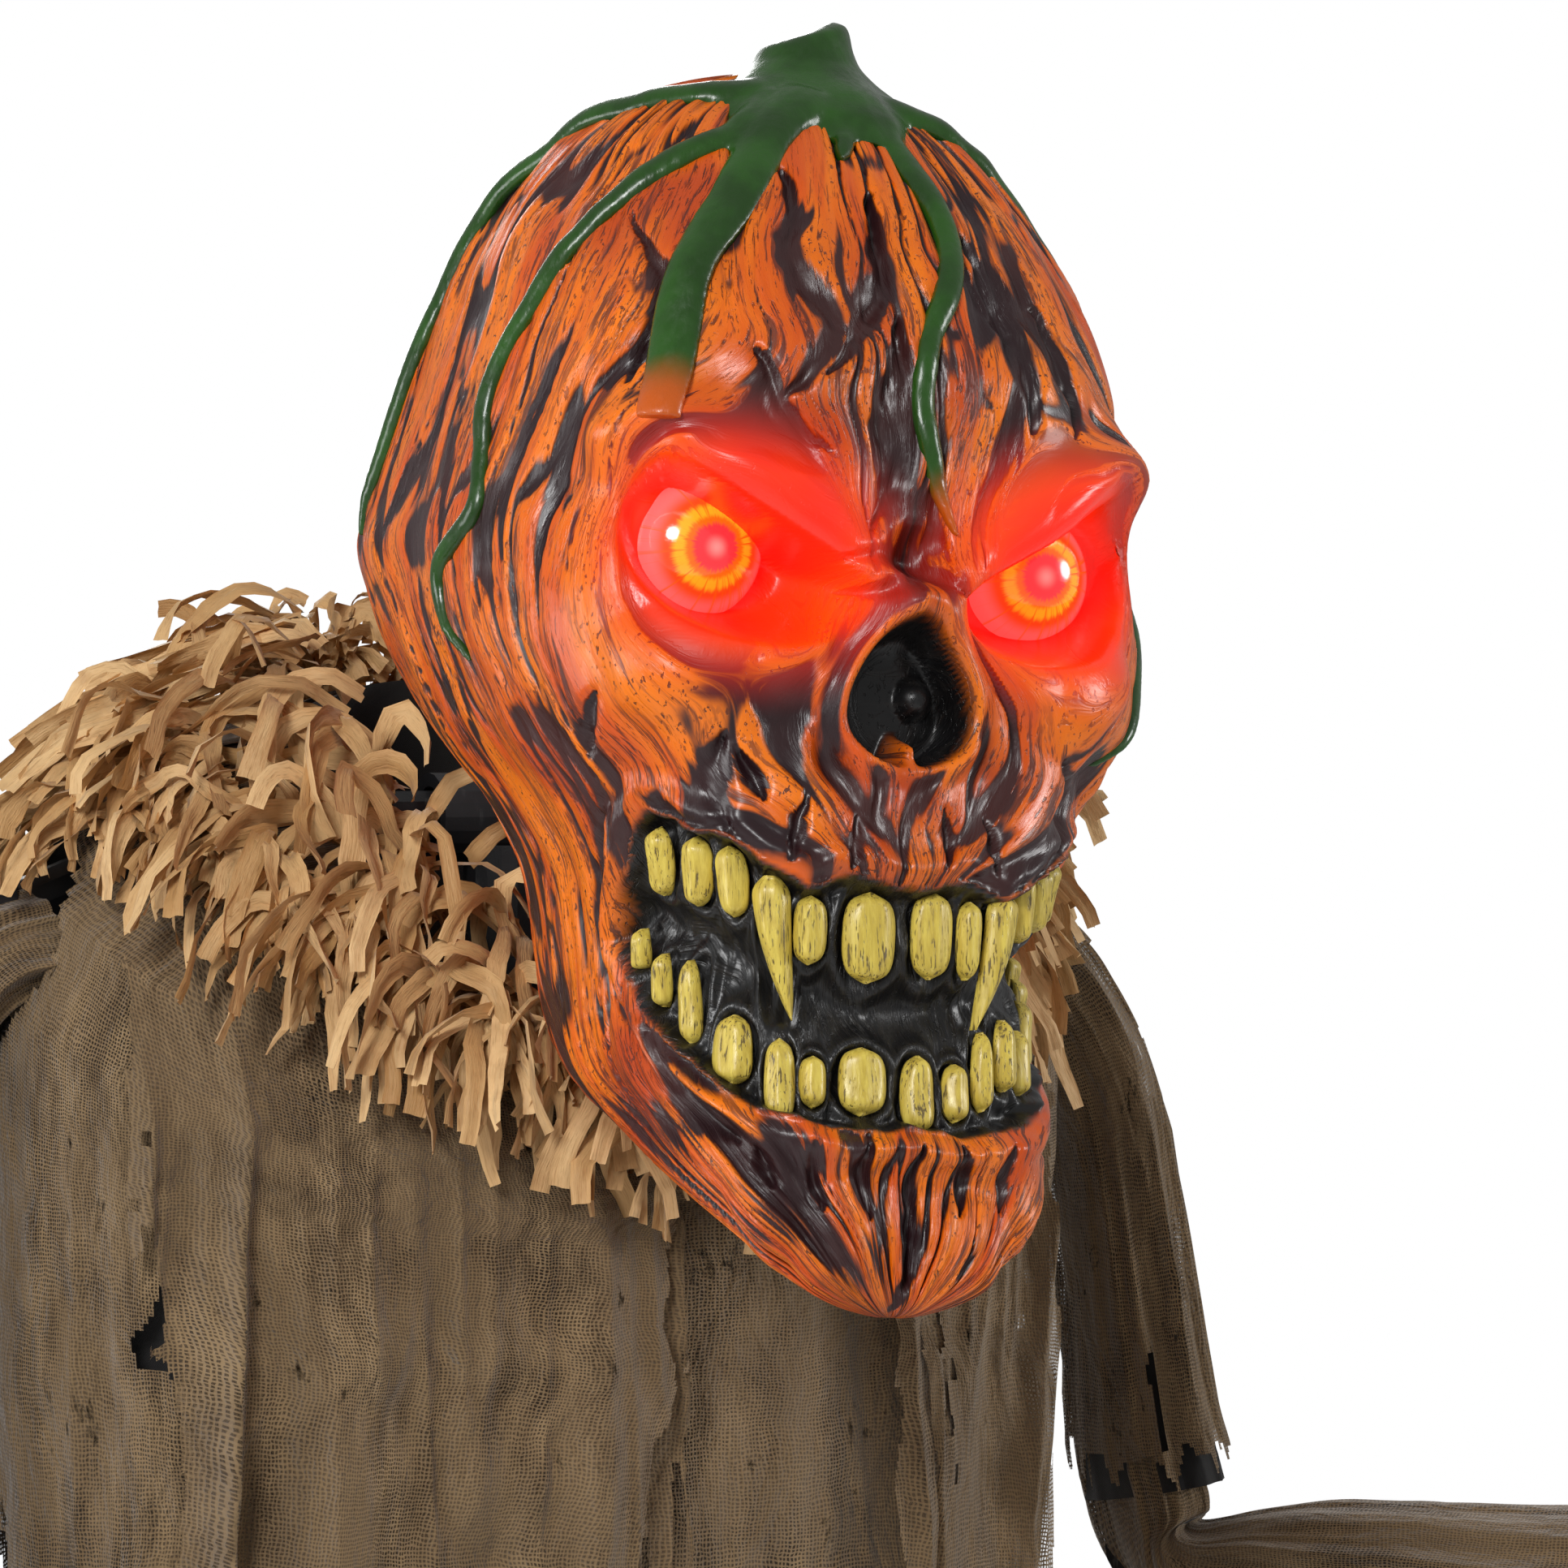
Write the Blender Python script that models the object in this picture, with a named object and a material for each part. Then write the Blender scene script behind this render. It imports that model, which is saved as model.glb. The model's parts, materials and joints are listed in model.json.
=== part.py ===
"""Standing scarecrow figure with a turning pumpkin-skull head, posable arms, robe, gauze and raffia collar.

Metres, +Z up. The figure faces -Y and its left hand is on the +X side. The origin is on the floor, at the
centre of the base hub's underside.
"""

import math

import bmesh
import bpy
from mathutils import Matrix, Vector

# ---- Driving dimensions ------------------------------------------------------------------------------

GAP = 0.0004                       # clearance between touching pieces
SIDES = {"left": 1.0, "right": -1.0}

HUB_SIDE, HUB_HEIGHT = 0.110, 0.036
HUB_SOCKET_R, HUB_SOCKET_TOP = 0.021, 0.130
LEG_R, LEG_INNER_END, LEG_OUTER_END = 0.0125, 0.018, 0.400
FOOT_LENGTH, FOOT_WIDTH = 0.050, 0.038

LOWER_POLE_R, UPPER_POLE_R, POLE_WALL = 0.0150, 0.0125, 0.0016
LOWER_POLE_TOP, UPPER_POLE_BOTTOM, UPPER_POLE_TOP = 0.95, 0.85, 1.660
SNAP_BUTTON_Z = 0.900

BAR_R, BAR_Z, BAR_END_X, BAR_DROP = 0.0100, 1.682, 0.185, 0.032
SHOULDER_X, SHOULDER_Z = 0.1985, 1.650
ELBOW = Vector((0.250, 0.0, 1.415))
ARM_R = 0.0085
FOREARM_DIRECTION = Vector((1.0, -1.0, 0.0)).normalized()
FOREARM_LENGTH, HAND_LENGTH = 0.235, 0.150
LUG_THICK, LUG_R = 0.003, 0.013

NECK_TILT = math.radians(38.5)     # the neck leans forward by this much from upright
NECK_BASE = Vector((0.0, -0.058, 1.560))
HEAD_ABOVE_NECK = 0.217            # from the neck's base to the head's centre, along the neck
HEAD_ROLL = math.radians(4.0)      # the head hangs towards the figure's left shoulder
SHAFT_R, SHAFT_WALL, SHAFT_BOTTOM, SHAFT_TOP = 0.0110, 0.0018, -0.0100, 0.145

GEAR_MODULE, GEAR_TEETH, PINION_TEETH = 0.0015, 36, 12
GEAR_DISTANCE = GEAR_MODULE * (GEAR_TEETH + PINION_TEETH) / 2
PRESSURE_ANGLE = math.radians(25)
ADDENDUM, DEDENDUM, BACKLASH = 0.80, 1.15, 0.0004
GEAR_LOW, GEAR_HIGH = -0.0060, 0.0020
CASE_FLOOR, CASE_TOP, CASE_WALL = -0.0145, 0.0080, 0.0030
CASE_R, CASE_SMALL_R = 0.0340, 0.0165
BUSH_R = 0.0145

SHELL_WALL = 0.0035
EYE = Vector((0.0580, -0.0775, 0.0340))   # the left eye's centre, in the head's own frame
EYE_R, EYE_WALL = 0.0240, 0.0025
STEM_R, STEM_TOP, STEM_Y = 0.0140, 0.215, -0.018

BOX_HALF_WIDTH, BOX_LOW, BOX_HIGH = 0.062, 1.215, 1.400
BOX_BACK, BOX_SPLIT, BOX_FRONT, BOX_WALL = -0.0190, -0.050, -0.086, 0.0025

CLOTH = 0.0022                     # wall of the robe, the gauze and the sleeves
HEM_Z = 0.060
NAPE_RISE = 0.2                    # share of the rings' slope that the robe keeps behind the neck
ARMHOLE_R, ARMHOLE_Z = 0.036, 1.640
BESIDE_ROBE_X = 0.2085             # the sleeves stay outside this plane, clear of the robe
COLLAR_HALF_WIDTH, COLLAR_HALF_DEPTH, COLLAR_EDGE_Z = 0.191, 0.116, 1.668

# Height, half width, front, back and squareness of the head's outline, in the head's own frame.
HEAD_SECTIONS = (
    (-0.210, 0.015, -0.153, -0.134, 2.4),
    (-0.202, 0.027, -0.153, -0.130, 2.7),
    (-0.182, 0.043, -0.149, -0.111, 3.0),
    (-0.160, 0.060, -0.146, -0.058, 3.0),
    (-0.134, 0.067, -0.142, 0.014, 3.0),
    (-0.110, 0.067, -0.140, 0.046, 3.0),
    (-0.080, 0.072, -0.139, 0.046, 3.0),
    (-0.066, 0.075, -0.138, 0.048, 3.0),
    (-0.046, 0.085, -0.134, 0.060, 3.0),
    (-0.026, 0.100, -0.130, 0.078, 3.0),
    (0.006, 0.112, -0.127, 0.106, 3.0),
    (0.036, 0.114, -0.124, 0.141, 3.0),
    (0.064, 0.109, -0.124, 0.131, 2.9),
    (0.096, 0.103, -0.121, 0.125, 2.7),
    (0.126, 0.095, -0.108, 0.121, 2.5),
    (0.150, 0.084, -0.088, 0.112, 2.4),
    (0.170, 0.072, -0.066, 0.080, 2.3),
    (0.184, 0.056, -0.048, 0.045, 2.2),
    (0.192, 0.030, -0.032, 0.018, 2.1),
)
# Centre y, centre z, half width, half depth and backward rise of the robe's rings, hem to neckline.
ROBE_RINGS = (
    (0.000, HEM_Z, 0.270, 0.230, 0.00),
    (0.000, 0.500, 0.222, 0.172, 0.00),
    (0.000, 1.000, 0.186, 0.136, 0.00),
    (-0.005, 1.350, 0.178, 0.120, 0.05),
    (-0.010, 1.500, 0.184, 0.112, 0.10),
    (-0.012, 1.575, 0.190, 0.109, 0.25),
    (-0.014, 1.625, 0.192, 0.106, 0.50),
    (-0.018, 1.668, 0.180, 0.101, 0.75),
    (-0.024, 1.692, 0.150, 0.094, 0.92),
    (-0.028, 1.702, 0.118, 0.090, 1.05),
    (-0.030, 1.711, 0.074, 0.088, 1.15),
)

# ---- Tools -------------------------------------------------------------------------------------------


def clear_scene():
    for obj in list(bpy.data.objects):
        bpy.data.objects.remove(obj)


def material(name, colour, roughness, metallic=0.0):
    made = bpy.data.materials.new(name)
    made.use_nodes = True
    shader = made.node_tree.nodes["Principled BSDF"]
    shader.inputs["Base Color"].default_value = (*colour, 1.0)
    shader.inputs["Roughness"].default_value = roughness
    shader.inputs["Metallic"].default_value = metallic
    return made


def empty(name, matrix):
    made = bpy.data.objects.new(name, None)
    bpy.context.scene.collection.objects.link(made)
    made.matrix_world = matrix
    return made


def new_object(name, mesh, look, parent=None, smooth=35):
    obj = bpy.data.objects.new(name, mesh)
    bpy.context.scene.collection.objects.link(obj)
    if look is not None:
        mesh.materials.append(look)
    if parent is not None:
        obj.parent = parent
    mesh.shade_smooth()
    mesh.set_sharp_from_angle(angle=math.radians(smooth))
    return obj


def loft(name, loops, look, parent=None, wrap=False):
    """A closed solid through rings of points. With wrap the last ring joins the first, as in a tube's wall."""
    shape = bmesh.new()
    rows = [[shape.verts.new(p) for p in loop] for loop in loops]
    pairs = list(zip(rows, rows[1:])) + ([(rows[-1], rows[0])] if wrap else [])
    for low, high in pairs:
        for i in range(len(low)):
            j = (i + 1) % len(low)
            shape.faces.new((low[i], low[j], high[j], high[i]))
    if not wrap:
        shape.faces.new(rows[0][::-1])
        shape.faces.new(rows[-1])
    bmesh.ops.recalc_face_normals(shape, faces=shape.faces)
    mesh = bpy.data.meshes.new(name)
    shape.to_mesh(mesh)
    shape.free()
    return new_object(name, mesh, look, parent)


def circle(centre, across, up, radius, count, flatten=1.0):
    """A ring of points in the plane of the two unit vectors."""
    turns = [2 * math.pi * i / count for i in range(count)]
    return [centre + across * (radius * math.cos(t)) + up * (radius * flatten * math.sin(t)) for t in turns]


def turned(name, profile, look, parent=None, count=20, wrap=False, place=Matrix.Identity(4)):
    """A solid turned about local Z from (radius, height) points; wrap closes the profile, as on a ring."""
    x, y = Vector((1, 0, 0)), Vector((0, 1, 0))
    loops = [circle(Vector((0, 0, h)), x, y, r, count) for r, h in profile]
    loops = [[place @ p for p in loop] for loop in loops]
    return loft(name, loops, look, parent, wrap)


def ring_profile(outer, inner, low, high):
    return [(outer, low), (outer, high), (inner, high), (inner, low)]


def frames_along(path):
    """Two unit vectors across the path at each of its points, turned as little as possible."""
    frames = []
    side = None
    for i, point in enumerate(path):
        before, after = path[max(i - 1, 0)], path[min(i + 1, len(path) - 1)]
        ahead = (after - before).normalized()
        if side is None:
            start = Vector((0, 0, 1)) if abs(ahead.z) < 0.9 else Vector((0, 1, 0))
            side = ahead.cross(start)
        side = (side - ahead * side.dot(ahead)).normalized()
        frames.append((side, ahead.cross(side)))
    return frames


def tube(name, path, radius, look, parent=None, wall=None, count=12):
    """A round bar along a path, or a tube when it has a wall."""
    path = [Vector(p) for p in path]
    frames = frames_along(path)
    outer = [circle(p, a, b, radius, count) for p, (a, b) in zip(path, frames)]
    if wall is None:
        return loft(name, outer, look, parent)
    inner = [circle(p, a, b, radius - wall, count) for p, (a, b) in zip(path, frames)]
    return loft(name, outer + inner[::-1], look, parent, wrap=True)


def block(name, low, high, look, parent=None, bevel=0.0, place=Matrix.Identity(4)):
    """A box between two corners, with rounded edges when it has a bevel."""
    shape = bmesh.new()
    bmesh.ops.create_cube(shape, size=1.0)
    size, centre = Vector(high) - Vector(low), (Vector(high) + Vector(low)) / 2
    for v in shape.verts:
        v.co = centre + Vector((v.co.x * size.x, v.co.y * size.y, v.co.z * size.z))
    if bevel:
        bmesh.ops.bevel(shape, geom=shape.edges[:], offset=bevel, segments=2, profile=0.5, affect="EDGES")
    bmesh.ops.transform(shape, matrix=place, verts=shape.verts)
    mesh = bpy.data.meshes.new(name)
    shape.to_mesh(mesh)
    shape.free()
    return new_object(name, mesh, look, parent)


def boolean(obj, other, operation):
    """Joins or cuts obj with a helper that isn't itself a node."""
    other.hide_render = True
    other.display_type = "WIRE"
    step = obj.modifiers.new(other.name, "BOOLEAN")
    step.operation = operation
    step.solver = "EXACT"
    step.object = other
    return obj


def cut(obj, other):
    return boolean(obj, other, "DIFFERENCE")


def join(obj, other):
    return boolean(obj, other, "UNION")


def between(low, high, steps):
    return [low + (high - low) * i / steps for i in range(steps + 1)]


def smooth_path(points, steps):
    """A Catmull-Rom curve through the points."""
    points = [Vector(p) for p in points]
    ends = [points[0] * 2 - points[1]] + points + [points[-1] * 2 - points[-2]]
    made = []
    for a, b, c, d in zip(ends, ends[1:], ends[2:], ends[3:]):
        for i in range(steps):
            t = i / steps
            made.append(0.5 * (2 * b + (c - a) * t + (2 * a - 5 * b + 4 * c - d) * t ** 2
                               + (3 * b - a - 3 * c + d) * t ** 3))
    return made + [points[-1]]


def facing(centre, axis):
    """The matrix that puts local Z along an axis at a point."""
    return Matrix.Translation(centre) @ Vector(axis).to_track_quat("Z", "Y").to_matrix().to_4x4()


# ---- Looks -------------------------------------------------------------------------------------------


def make_looks():
    return {
        "steel": material("frame_steel", (0.03, 0.03, 0.032), 0.45, 0.6),
        "zinc": material("fastener_zinc", (0.62, 0.62, 0.60), 0.35, 1.0),
        "black": material("black_plastic", (0.022, 0.022, 0.024), 0.5),
        "rubber": material("foot_rubber", (0.018, 0.018, 0.018), 0.8),
        "nylon": material("white_nylon", (0.78, 0.77, 0.72), 0.4),
        "board": material("circuit_board", (0.02, 0.16, 0.06), 0.4),
        "red": material("lead_red", (0.45, 0.02, 0.02), 0.5),
        "skull": material("orange_skull", (0.80, 0.20, 0.01), 0.35),
        "eye": material("eye_lens", (0.95, 0.12, 0.03), 0.15),
        "robe": material("black_robe", (0.03, 0.022, 0.016), 0.9),
        "gauze": material("brown_gauze", (0.20, 0.13, 0.065), 0.95),
        "raffia": material("raffia", (0.62, 0.38, 0.17), 0.75),
    }


# ---- Base and poles ----------------------------------------------------------------------------------


def make_base(looks):
    """A moulded hub with a pole socket on top and a leg pushed into each of its four sides."""
    quarter = Matrix.Rotation(math.radians(45), 4, "Z")
    half = HUB_SIDE / 2
    hub = block("base_hub", (-half, -half, 0), (half, half, HUB_HEIGHT), looks["black"], bevel=0.003,
                place=quarter)
    socket = [(HUB_SOCKET_R + 0.006, HUB_HEIGHT - 0.004), (HUB_SOCKET_R, HUB_HEIGHT + 0.012),
              (HUB_SOCKET_R, HUB_SOCKET_TOP)]
    join(hub, turned("hub_socket", socket, None, count=18))
    bore = [(LOWER_POLE_R + GAP, 0.008), (LOWER_POLE_R + GAP, HUB_SOCKET_TOP + 0.01)]
    cut(hub, turned("hub_bore", bore, None, count=18))
    names = ("front_left", "back_left", "back_right", "front_right")
    for i, place in enumerate(names):
        turn = math.radians(-45 + 90 * i)
        out = Vector((math.cos(turn), math.sin(turn), 0))
        middle = Vector((0, 0, HUB_HEIGHT / 2))
        seat = [middle + out * LEG_INNER_END, middle + out * (half + 0.01)]
        cut(hub, tube("seat_" + place, seat, LEG_R + GAP, None, count=16))
        inner, outer = LEG_INNER_END + GAP, LEG_OUTER_END
        tube("base_leg_" + place, [middle + out * inner, middle + out * outer], LEG_R, looks["steel"],
             wall=POLE_WALL, count=16)
        spin = Matrix.Rotation(turn, 4, "Z")
        foot = block("foot_" + place, (outer - FOOT_LENGTH + 0.012, -FOOT_WIDTH / 2, 0),
                     (outer + 0.012, FOOT_WIDTH / 2, HUB_HEIGHT), looks["rubber"], bevel=0.004, place=spin)
        hole = [middle + out * (outer - FOOT_LENGTH), middle + out * (outer + GAP)]
        cut(foot, tube("foot_hole_" + place, hole, LEG_R + GAP, None, count=16))


def make_poles(looks):
    """The lower pole stands in the hub, and the thinner upper pole slides into it and locks on a button."""
    lower = tube("lower_pole", [(0, 0, 0.0085), (0, 0, LOWER_POLE_TOP)], LOWER_POLE_R, looks["steel"],
                 wall=POLE_WALL, count=20)
    upper = tube("upper_pole", [(0, 0, UPPER_POLE_BOTTOM), (0, 0, UPPER_POLE_TOP)], UPPER_POLE_R,
                 looks["steel"], wall=POLE_WALL, count=20)
    for pole, name in ((lower, "button_hole_lower"), (upper, "button_hole_upper")):
        hole = [(0, -0.020, SNAP_BUTTON_Z), (0, -0.008, SNAP_BUTTON_Z)]
        cut(pole, tube(name, hole, 0.0034, None, count=12))
    profile = [(0.0052, 0.0), (0.0052, 0.0012), (0.0030, 0.0012), (0.0030, 0.0075), (0.0016, 0.0086)]
    turned("pole_snap_button", profile, looks["zinc"], count=12,
           place=facing(Vector((0, -0.0080, SNAP_BUTTON_Z)), (0, -1, 0)))


def make_shoulder_bar(looks):
    """A tube bent down at both ends, each with a flat lug for the arm, held on the pole by a moulded tee."""
    path = []
    for x in between(-BAR_END_X, BAR_END_X, 8):
        path.append((x, 0, BAR_Z - BAR_DROP * abs(x / BAR_END_X) ** 3))
    bar = tube("shoulder_bar", path, BAR_R, looks["steel"], count=10)
    for side, sign in SIDES.items():
        outer = SHOULDER_X - LUG_THICK / 2 - GAP
        inner = outer - LUG_THICK - 0.006
        lug = [Vector((sign * inner, 0, SHOULDER_Z)), Vector((sign * outer, 0, SHOULDER_Z))]
        join(bar, tube("bar_lug_" + side, lug, LUG_R, None, count=16))
        hole = [Vector((sign * (outer + past), 0, SHOULDER_Z)) for past in (-0.02, 0.01)]
        cut(bar, tube("bar_hole_" + side, hole, 0.0035, None, count=12))
    tee = turned("shoulder_tee", [(0.0175, 1.600), (0.0175, 1.672)], looks["black"], count=20)
    join(tee, tube("tee_sleeve", [(-0.032, 0, BAR_Z), (0.032, 0, BAR_Z)], 0.0155, None, count=20))
    pole_bore = [(UPPER_POLE_R + GAP, 1.59), (UPPER_POLE_R + GAP, UPPER_POLE_TOP + 0.0005)]
    cut(tee, turned("tee_pole_bore", pole_bore, None, count=20))
    cut(tee, tube("tee_bar_bore", [(-0.05, 0, BAR_Z), (0.05, 0, BAR_Z)], BAR_R + 2 * GAP, None, count=20))


# ---- Control box -------------------------------------------------------------------------------------


def make_control_box(looks):
    """Two shells around the circuit board and loudspeaker, strapped to the front of the upper pole."""
    w, low, high = BOX_HALF_WIDTH, BOX_LOW, BOX_HIGH
    back = block("control_box_back", (-w, BOX_SPLIT, low), (w, BOX_BACK, high), looks["black"], bevel=0.0014)
    cut(back, block("back_hollow", (-w + BOX_WALL, BOX_SPLIT - 0.02, low + BOX_WALL),
                    (w - BOX_WALL, BOX_BACK - BOX_WALL, high - BOX_WALL), None))
    front = block("control_box_front", (-w, BOX_FRONT, low), (w, BOX_SPLIT - GAP, high), looks["black"],
                  bevel=0.0014)
    cut(front, block("front_hollow", (-w + BOX_WALL, BOX_FRONT + BOX_WALL, low + BOX_WALL),
                     (w - BOX_WALL, BOX_SPLIT + 0.02, high - BOX_WALL), None))
    for i in range(5):
        z = 1.345 + 0.007 * (i - 2)
        slot_low, slot_high = (-0.022, BOX_FRONT - 0.01, z), (0.022, BOX_FRONT + 0.01, z + 0.003)
        cut(front, block(f"grille_slot_{i}", slot_low, slot_high, None))
    cone = [(0.010, 0.0), (0.014, 0.010), (0.026, 0.020), (0.028, 0.020), (0.028, 0.023)]
    turned("loudspeaker", cone, looks["steel"], count=20,
           place=facing(Vector((0, BOX_FRONT + BOX_WALL + 0.0240, 1.345)), (0, -1, 0)))
    block("circuit_board", (-0.050, -0.0330, 1.225), (0.050, -0.0314, 1.390), looks["board"])
    sensor_z = 1.262
    sensor = [(0.0060, -0.010), (0.0060, 0.0), (0.0110, 0.0004), (0.0110, 0.003), (0.0085, 0.0075),
              (0.0040, 0.0100)]
    turned("motion_sensor", sensor, looks["nylon"], count=16,
           place=facing(Vector((0, BOX_FRONT, sensor_z)), (0, -1, 0)))
    sensor_way = [(0, BOX_FRONT - 0.01, sensor_z), (0, BOX_FRONT + 0.01, sensor_z)]
    cut(front, tube("sensor_hole", sensor_way, 0.0064, None))
    inlet = [(0.0058, -0.008), (0.0058, 0.0006), (0.0078, 0.0010), (0.0078, 0.0030),
             (0.0030, 0.0030), (0.0030, -0.006)]
    inlet_y = -0.036
    turned("power_inlet", inlet, looks["zinc"], count=16,
           place=facing(Vector((0.030, inlet_y, BOX_LOW)), (0, 0, -1)))
    cut(back, tube("inlet_hole", [(0.030, inlet_y, low - 0.01), (0.030, inlet_y, low + 0.01)], 0.0062, None))
    button_z, switch_z, control_y = 1.370, 1.330, -0.036
    cap = [(0.0072, -0.0041), (0.0072, -0.0029), (0.0052, -0.0029), (0.0052, 0.0035), (0.0042, 0.0045)]
    turned("try_me_button", cap, looks["red"], count=14,
           place=facing(Vector((w, control_y, button_z)), (1, 0, 0)))
    button_way = [(w - 0.01, control_y, button_z), (w + 0.01, control_y, button_z)]
    cut(back, tube("button_hole", button_way, 0.0056, None))
    block("mode_switch", (w - 0.0050, control_y - 0.0022, switch_z - 0.0095),
          (w + 0.0030, control_y + 0.0022, switch_z - 0.0005), looks["nylon"])
    cut(back, block("switch_slot", (w - 0.02, control_y - 0.0030, switch_z - 0.0110),
                    (w + 0.02, control_y + 0.0030, switch_z + 0.0110), None))
    strap = block("box_strap", (-0.026, BOX_BACK + GAP, 1.300), (0.026, 0.018, 1.322), looks["steel"],
                  bevel=0.002)
    cut(strap, turned("strap_bore", [(UPPER_POLE_R + GAP, 1.29), (UPPER_POLE_R + GAP, 1.33)], None, count=20))


# ---- Neck drive, in a frame whose Z runs up the neck ---------------------------------------------------


def gear_outline(teeth, half_turn):
    """The points round a spur gear with involute flanks; half_turn starts it on a gap instead of a tooth."""
    pitch_r = GEAR_MODULE * teeth / 2
    base_r = pitch_r * math.cos(PRESSURE_ANGLE)
    root_r, tip_r = pitch_r - DEDENDUM * GEAR_MODULE, pitch_r + ADDENDUM * GEAR_MODULE
    half_tooth = math.pi / (2 * teeth) - BACKLASH / (2 * pitch_r)
    at_pitch = math.tan(PRESSURE_ANGLE) - PRESSURE_ANGLE

    def half_angle(radius):
        slope = math.acos(min(1.0, base_r / radius))
        return half_tooth + at_pitch - (math.tan(slope) - slope)

    radii = [root_r] + between(max(base_r, root_r + 0.0001), tip_r, 1)
    points = []
    for k in range(teeth):
        middle = 2 * math.pi * (k + (0.5 if half_turn else 0.0)) / teeth
        flank = [(r, half_angle(max(r, base_r))) for r in radii]
        for r, a in flank:
            points.append(Vector((r * math.cos(middle - a), r * math.sin(middle - a), 0)))
        for r, a in reversed(flank):
            points.append(Vector((r * math.cos(middle + a), r * math.sin(middle + a), 0)))
    return points


def make_gear(name, teeth, half_turn, bore, low, high, look, parent, centre):
    """A spur gear with a round bore."""
    outline = gear_outline(teeth, half_turn)
    loops = [[p + centre + Vector((0, 0, h)) for p in outline] for h in (low, high)]
    gear = loft(name, loops, look, parent)
    hole = tube(name + "_bore", [centre + Vector((0, 0, low - 0.01)), centre + Vector((0, 0, high + 0.01))],
                bore, None, parent, count=20)
    return cut(gear, hole)


def case_outline(margin, height):
    """The gear case's outline: a large arc round the gear, a small one round the pinion, and tangents."""
    big, small = CASE_R + margin, CASE_SMALL_R + margin
    lean = math.acos((big - small) / GEAR_DISTANCE)
    points = []
    for t in between(lean, 2 * math.pi - lean, 22):
        points.append(Vector((big * math.cos(t), big * math.sin(t), height)))
    for t in between(-lean, lean, 9):
        points.append(Vector((GEAR_DISTANCE + small * math.cos(t), small * math.sin(t), height)))
    return points


def make_neck_drive(looks):
    """Gearmotor, pinion and gear in a closed case, turning the hollow neck shaft in a bush."""
    place = Matrix.Translation(NECK_BASE) @ Matrix.Rotation(NECK_TILT, 4, "X")
    neck = empty("neck_pivot", place)
    motor_at = Vector((GEAR_DISTANCE, 0, 0))
    case_loops = [case_outline(0, CASE_FLOOR), case_outline(0, CASE_TOP), case_outline(-CASE_WALL, CASE_TOP),
                  case_outline(-CASE_WALL, CASE_FLOOR + CASE_WALL)]
    case = loft("gear_case", case_loops, looks["black"], neck)
    for name, centre, radius in (("cable_hole", Vector(), 0.0050), ("motor_hole", motor_at, 0.0045)):
        path = [centre + Vector((0, 0, CASE_FLOOR - 0.01)), centre + Vector((0, 0, CASE_FLOOR + 0.008))]
        cut(case, tube(name, path, radius, None, neck, count=16))
    cover_loops = [case_outline(0, CASE_TOP + GAP), case_outline(0, CASE_TOP + GAP + CASE_WALL)]
    cover = loft("gear_case_cover", cover_loops, looks["black"], neck)
    cover_way = [(0, 0, CASE_TOP - 0.01), (0, 0, CASE_TOP + 0.02)]
    cut(cover, tube("cover_hole", cover_way, BUSH_R + GAP, None, neck, count=24))
    bush_low, bush_high = CASE_TOP - 0.0015, CASE_TOP + GAP + CASE_WALL
    bush = [(BUSH_R, bush_low), (BUSH_R, bush_high + GAP), (BUSH_R + 0.004, bush_high + GAP),
            (BUSH_R + 0.004, bush_high + 0.004), (SHAFT_R + 0.0003, bush_high + 0.004),
            (SHAFT_R + 0.0003, bush_low)]
    turned("neck_bush", bush, looks["nylon"], neck, count=18, wrap=True)
    make_gear("neck_gear", GEAR_TEETH, False, SHAFT_R + GAP, GEAR_LOW, GEAR_HIGH, looks["nylon"], neck,
              Vector())
    pinion = empty("pinion_pivot", place @ Matrix.Translation(motor_at))
    make_gear("motor_pinion", PINION_TEETH, True, 0.0019, GEAR_LOW - 0.0005, GEAR_HIGH + 0.0005,
              looks["nylon"], pinion, Vector())
    motor_front = CASE_FLOOR - GAP
    motor = [(0.0110, -0.062), (0.0120, -0.060), (0.0120, motor_front), (0.0015, motor_front + 0.0001),
             (0.0015, GEAR_HIGH + 0.002)]
    turned("turn_motor", motor, looks["zinc"], neck, count=18, place=Matrix.Translation(motor_at))
    tube("neck_shaft", [(0, 0, SHAFT_BOTTOM), (0, 0, SHAFT_TOP)], SHAFT_R, looks["steel"], neck,
         wall=SHAFT_WALL, count=20)
    low, top, flange_low, flange_high = 0.108, 0.150, 0.116, 0.162
    sleeve, rim, rim_inner, inner = 0.0165, 0.0330, 0.0280, SHAFT_R + GAP
    socket = [(sleeve, low), (sleeve, flange_low), (rim, flange_low), (rim, flange_high),
              (rim_inner, flange_high), (rim_inner, flange_low + 0.003), (sleeve, flange_low + 0.003),
              (sleeve, top), (inner, top), (inner, low)]
    turned("head_socket", socket, looks["black"], neck, count=18, wrap=True)
    make_neck_bracket(looks, place)
    return neck, place


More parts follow.
